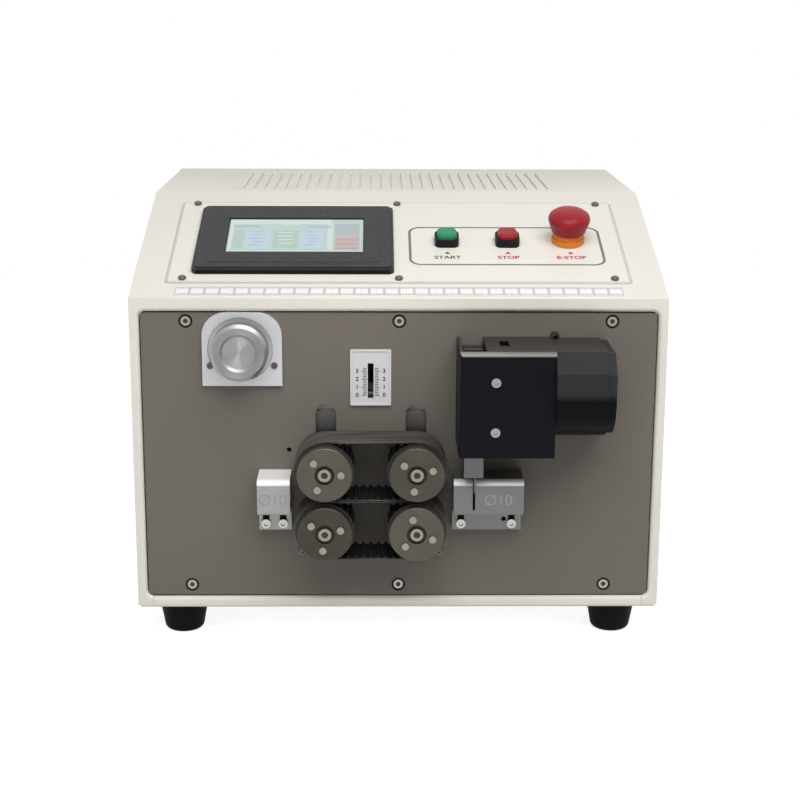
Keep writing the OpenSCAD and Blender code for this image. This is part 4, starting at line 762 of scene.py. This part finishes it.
FIELD_A, FIELD_B, SIDE = (0.125, 0.305), (0.54, 0.7), (0.79, 0.975)
SIDE_LINE = (SIDE[0] + 0.01, SIDE[1] - 0.01)
display("ground", (0.47, 0.59, 0.55), 0.03, [(0, 0, 1, 1)])
display("pale", (0.58, 0.7, 0.66), 0.04,
        [(0, 0.86, 0.76, 1), (0.735, 0.08, 0.775, 0.86), (0, 0, 0.03, 0.9), (0, 0, 1, 0.05)])
display("fields", (0.48, 0.6, 0.72), 0.05, [(x0, 0.1, x1, 0.68) for x0, x1 in (FIELD_A, FIELD_B)])
display("greens", (0.4, 0.55, 0.46), 0.05, [(0.04, 0.12, 0.115, 0.66), (0.33, 0.12, 0.52, 0.66)])
display("side", (0.4, 0.44, 0.46), 0.05, [(SIDE[0], 0.5, SIDE[1], 0.86)])
display("keys", (0.5, 0.4, 0.385), 0.05, [(SIDE[0], 0.06, SIDE[1], 0.48)])
display("lines", (0.37, 0.45, 0.46), 0.06,
        [(0.03, 0.76, 0.22, 0.81), (0.585, 0.75, 0.76, 0.795)]
        + rows(*SIDE_LINE, 0.56, 0.09, 4) + ragged(*FIELD_A) + ragged(*FIELD_B))
display("key_lines", (0.44, 0.28, 0.28), 0.06, rows(*SIDE_LINE, 0.1, 0.13, 3))
display("words", (0.6, 0.72, 0.67), 0.06,
        [(0.1, 0.91, 0.17, 0.95), (0.4, 0.83, 0.45, 0.88), (0.47, 0.83, 0.52, 0.88)]
        + rows(0.37, 0.48, 0.25, 0.11, 4))

# gap scale: a long mark at each figure, short marks for the fifths between them
SCALE_T = 1.0
SCALE_H = SCALE_T - PANEL_IN
FIGURE_STEP, FIGURE_LOW = 5.5, 149.9
FIGURE_SIZE, FIGURE_DX, FIGURE_BOLD = 4.0, 9.1, 0.14
SCALE_MARKS, SCALE_MARK_DX, SCALE_MARK_LOW = 18, 2.8, FIGURE_LOW - 0.2
SCALE_TICK_L, SCALE_MARK_L = 2.4, 3.4
ink_tick = ink("ink_tick", (0.06, 0.06, 0.065))
marks = []
for side in (-1, 1):
    for i in range(SCALE_MARKS):
        z = SCALE_MARK_LOW + i * FIGURE_STEP / 5
        length = SCALE_MARK_L if i % 5 == 0 else SCALE_TICK_L
        x = SCALE_X + side * SCALE_MARK_DX
        marks.append((min(x, x + side * length), z - TICK_HALF, max(x, x + side * length), z + TICK_HALF))
plates("scale_marks", marks, FACE_M, SCALE_H, SCALE_H + WORD_T, ink_tick)
for side, letter in ((-1, "l"), (1, "r")):
    for i in range(4):
        lettering(f"scale_figure_{letter}{i}", str(i), FIGURE_SIZE, SCALE_X + side * FIGURE_DX,
                  FIGURE_LOW + i * FIGURE_STEP, FACE_M, SCALE_H + WORD_T, ink_tick, FIGURE_BOLD)

# sizes cut into the guides
SIZE_TEXT, SIZE_H, SIZE_Z, SIZE_BOLD = "Ø10", 10.5, 83.6, 0.04
engraving = Mat("engraving", (0.27, 0.275, 0.27), 0.4, 0.3)
engraving.bump(engraving.noise(2500.0), 0.1, 0.0001)
for name, x in (("inlet_size", -84.6), ("outlet_size", 66.4)):
    lettering(name, SIZE_TEXT, SIZE_H, x, SIZE_Z, FACE_M, GUIDE_REACH + WORD_T, engraving.m,
              SIZE_BOLD)

# screw heads at the end of the cutter motor
END_SCREW_Y, END_SCREW_R = -27.4, 1.6
END_SCREW_FOOT, END_SCREW_TOP = 138.8, 140.4
for name, z in (("motor_end_screw_upper", 173.7), ("motor_end_screw_lower", 165.6)):
    prism(name, circle(END_SCREW_Y, z, END_SCREW_R), SIDE_M, END_SCREW_FOOT, END_SCREW_TOP, cover_screw_steel)

# contact blades in the power inlet
PIN_DX, PIN_DZ, PIN_R = 1.0, 2.0, 0.4
PIN_ROOT, PIN_TIP = REAR_Y - 16, REAR_Y - 4
for name, dx, dz in (("earth_pin", 0, 2.6), ("line_pin", -6.5, -2.2), ("neutral_pin", 6.5, -2.2)):
    x, z = dx - POWER_X, SOCKET_Z + dz
    loop = round_loop((x - PIN_DX, z - PIN_DZ, x + PIN_DX, z + PIN_DZ), PIN_R, 3)
    prism(name, loop, BACK_M, PIN_ROOT, PIN_TIP, MATS["ground_steel"])

# on and off marks on the two faces of the rocker
ROCKER_AXIS_IN, ROCKER_RISE = 8.0, 4.4
ROCKER_LEAN = math.atan2(1.6, 10)
NEAR_END, FAR_END = 3.2, 6.8
ON_HALF, OFF_HALF, OFF_R, OFF_W = 0.3, 1.8, 1.79, 0.6
ink_white = ink("ink_white", (0.75, 0.75, 0.75))
ROCKER_M = (Matrix.Translation(at(POWER_X, REAR_Y - ROCKER_AXIS_IN, ROCKER_Z))
            @ Matrix.Rotation(ROCKER_TILT, 4, "X") @ ABOUT_M @ UPRIGHT_M)
RIDGE_M = ROCKER_M @ Matrix.Translation(Vector((0, 0, ROCKER_RISE)) * MM)
UPPER_M = RIDGE_M @ Matrix.Rotation(ROCKER_LEAN, 4, "X")
LOWER_M = RIDGE_M @ Matrix.Rotation(-ROCKER_LEAN, 4, "X")
plates("on_mark", [(-ON_HALF, NEAR_END, ON_HALF, FAR_END)], UPPER_M, -SUNK, WORD_T, ink_white,
       "power_switch")
outline("off_mark", (-OFF_HALF, -FAR_END, OFF_HALF, -NEAR_END), OFF_R, OFF_W, LOWER_M, -SUNK,
        WORD_T, ink_white, "power_switch")


# floor, world and lamps
def seen_level(nt, low, high):
    """A strength that is high for the camera and in reflections, and low as light."""
    rays = nt.nodes.new("ShaderNodeLightPath")
    seen = rays.outputs["Is Camera Ray"]
    for kind in ("Is Glossy Ray", "Is Transmission Ray"):
        both = nt.nodes.new("ShaderNodeMath")
        both.operation = "MAXIMUM"
        nt.links.new(seen, both.inputs[0])
        nt.links.new(rays.outputs[kind], both.inputs[1])
        seen = both.outputs[0]
    level = nt.nodes.new("ShaderNodeMapRange")
    level.inputs["To Min"].default_value = low
    level.inputs["To Max"].default_value = high
    nt.links.new(seen, level.inputs["Value"])
    return level.outputs["Result"]


FLOOR_SHADE = 0.8
FLOOR_GLOW = 0.82
FLOOR_RX, FLOOR_RY, FLOOR_Y, FLOOR_DROP = 2.0, 1.9, -0.5, 0.0002
FLOOR_POINTS = 96


def make_floor():
    """A white oval that keeps the object's shadow, bright to the camera and in reflections only."""
    me = bpy.data.meshes.new("floor")
    turns = [2 * math.pi * i / FLOOR_POINTS for i in range(FLOOR_POINTS)]
    rim = [(FLOOR_RX * math.cos(a), FLOOR_RY * math.sin(a) + FLOOR_Y, 0) for a in turns]
    me.from_pydata(rim, [], [list(range(FLOOR_POINTS))])
    m = Mat("floor_white", (FLOOR_SHADE,) * 3, 0.9, spec=0.1)
    m.set("Emission Color", (1, 1, 1, 1))
    m.link(seen_level(m.nt, 0.0, FLOOR_GLOW), m.b.inputs["Emission Strength"])
    me.materials.append(m.m)
    o = bpy.data.objects.new("floor", me)
    bpy.context.scene.collection.objects.link(o)
    o.location.z = -FLOOR_DROP


WORLD_LEVEL = 0.22


def make_world():
    w = bpy.data.worlds.new("studio")
    bpy.context.scene.world = w
    w.use_nodes = True
    nt = w.node_tree
    bg = nt.nodes["Background"]
    bg.inputs["Color"].default_value = (1, 1, 1, 1)
    nt.links.new(seen_level(nt, WORLD_LEVEL, 1.0), bg.inputs["Strength"])


def lamp(name, place, target, size, power, in_gloss=True):
    """A rectangular lamp, size and places in metres, aimed at target."""
    d = bpy.data.lights.new(name, "AREA")
    d.shape = "RECTANGLE"
    d.size, d.size_y = size
    d.energy = power
    o = bpy.data.objects.new(name, d)
    bpy.context.scene.collection.objects.link(o)
    o.visible_glossy = in_gloss
    o.location = place
    o.rotation_euler = (Vector(target) - Vector(place)).to_track_quat("-Z", "Y").to_euler()


make_floor()
make_world()
lamp("key", (0.12, -0.72, 1.02), (0, -0.05, 0.12), (1.0, 0.75), 11.0)
lamp("fill", (-0.9, -1.3, 0.7), (0, 0, 0.12), (0.8, 0.8), 1.0)
lamp("back", (0.4, 1.5, 0.26), (0, 0.33, 0.14), (0.9, 0.4), 6.0, in_gloss=False)

bpy.context.scene.view_settings.view_transform = "Standard"
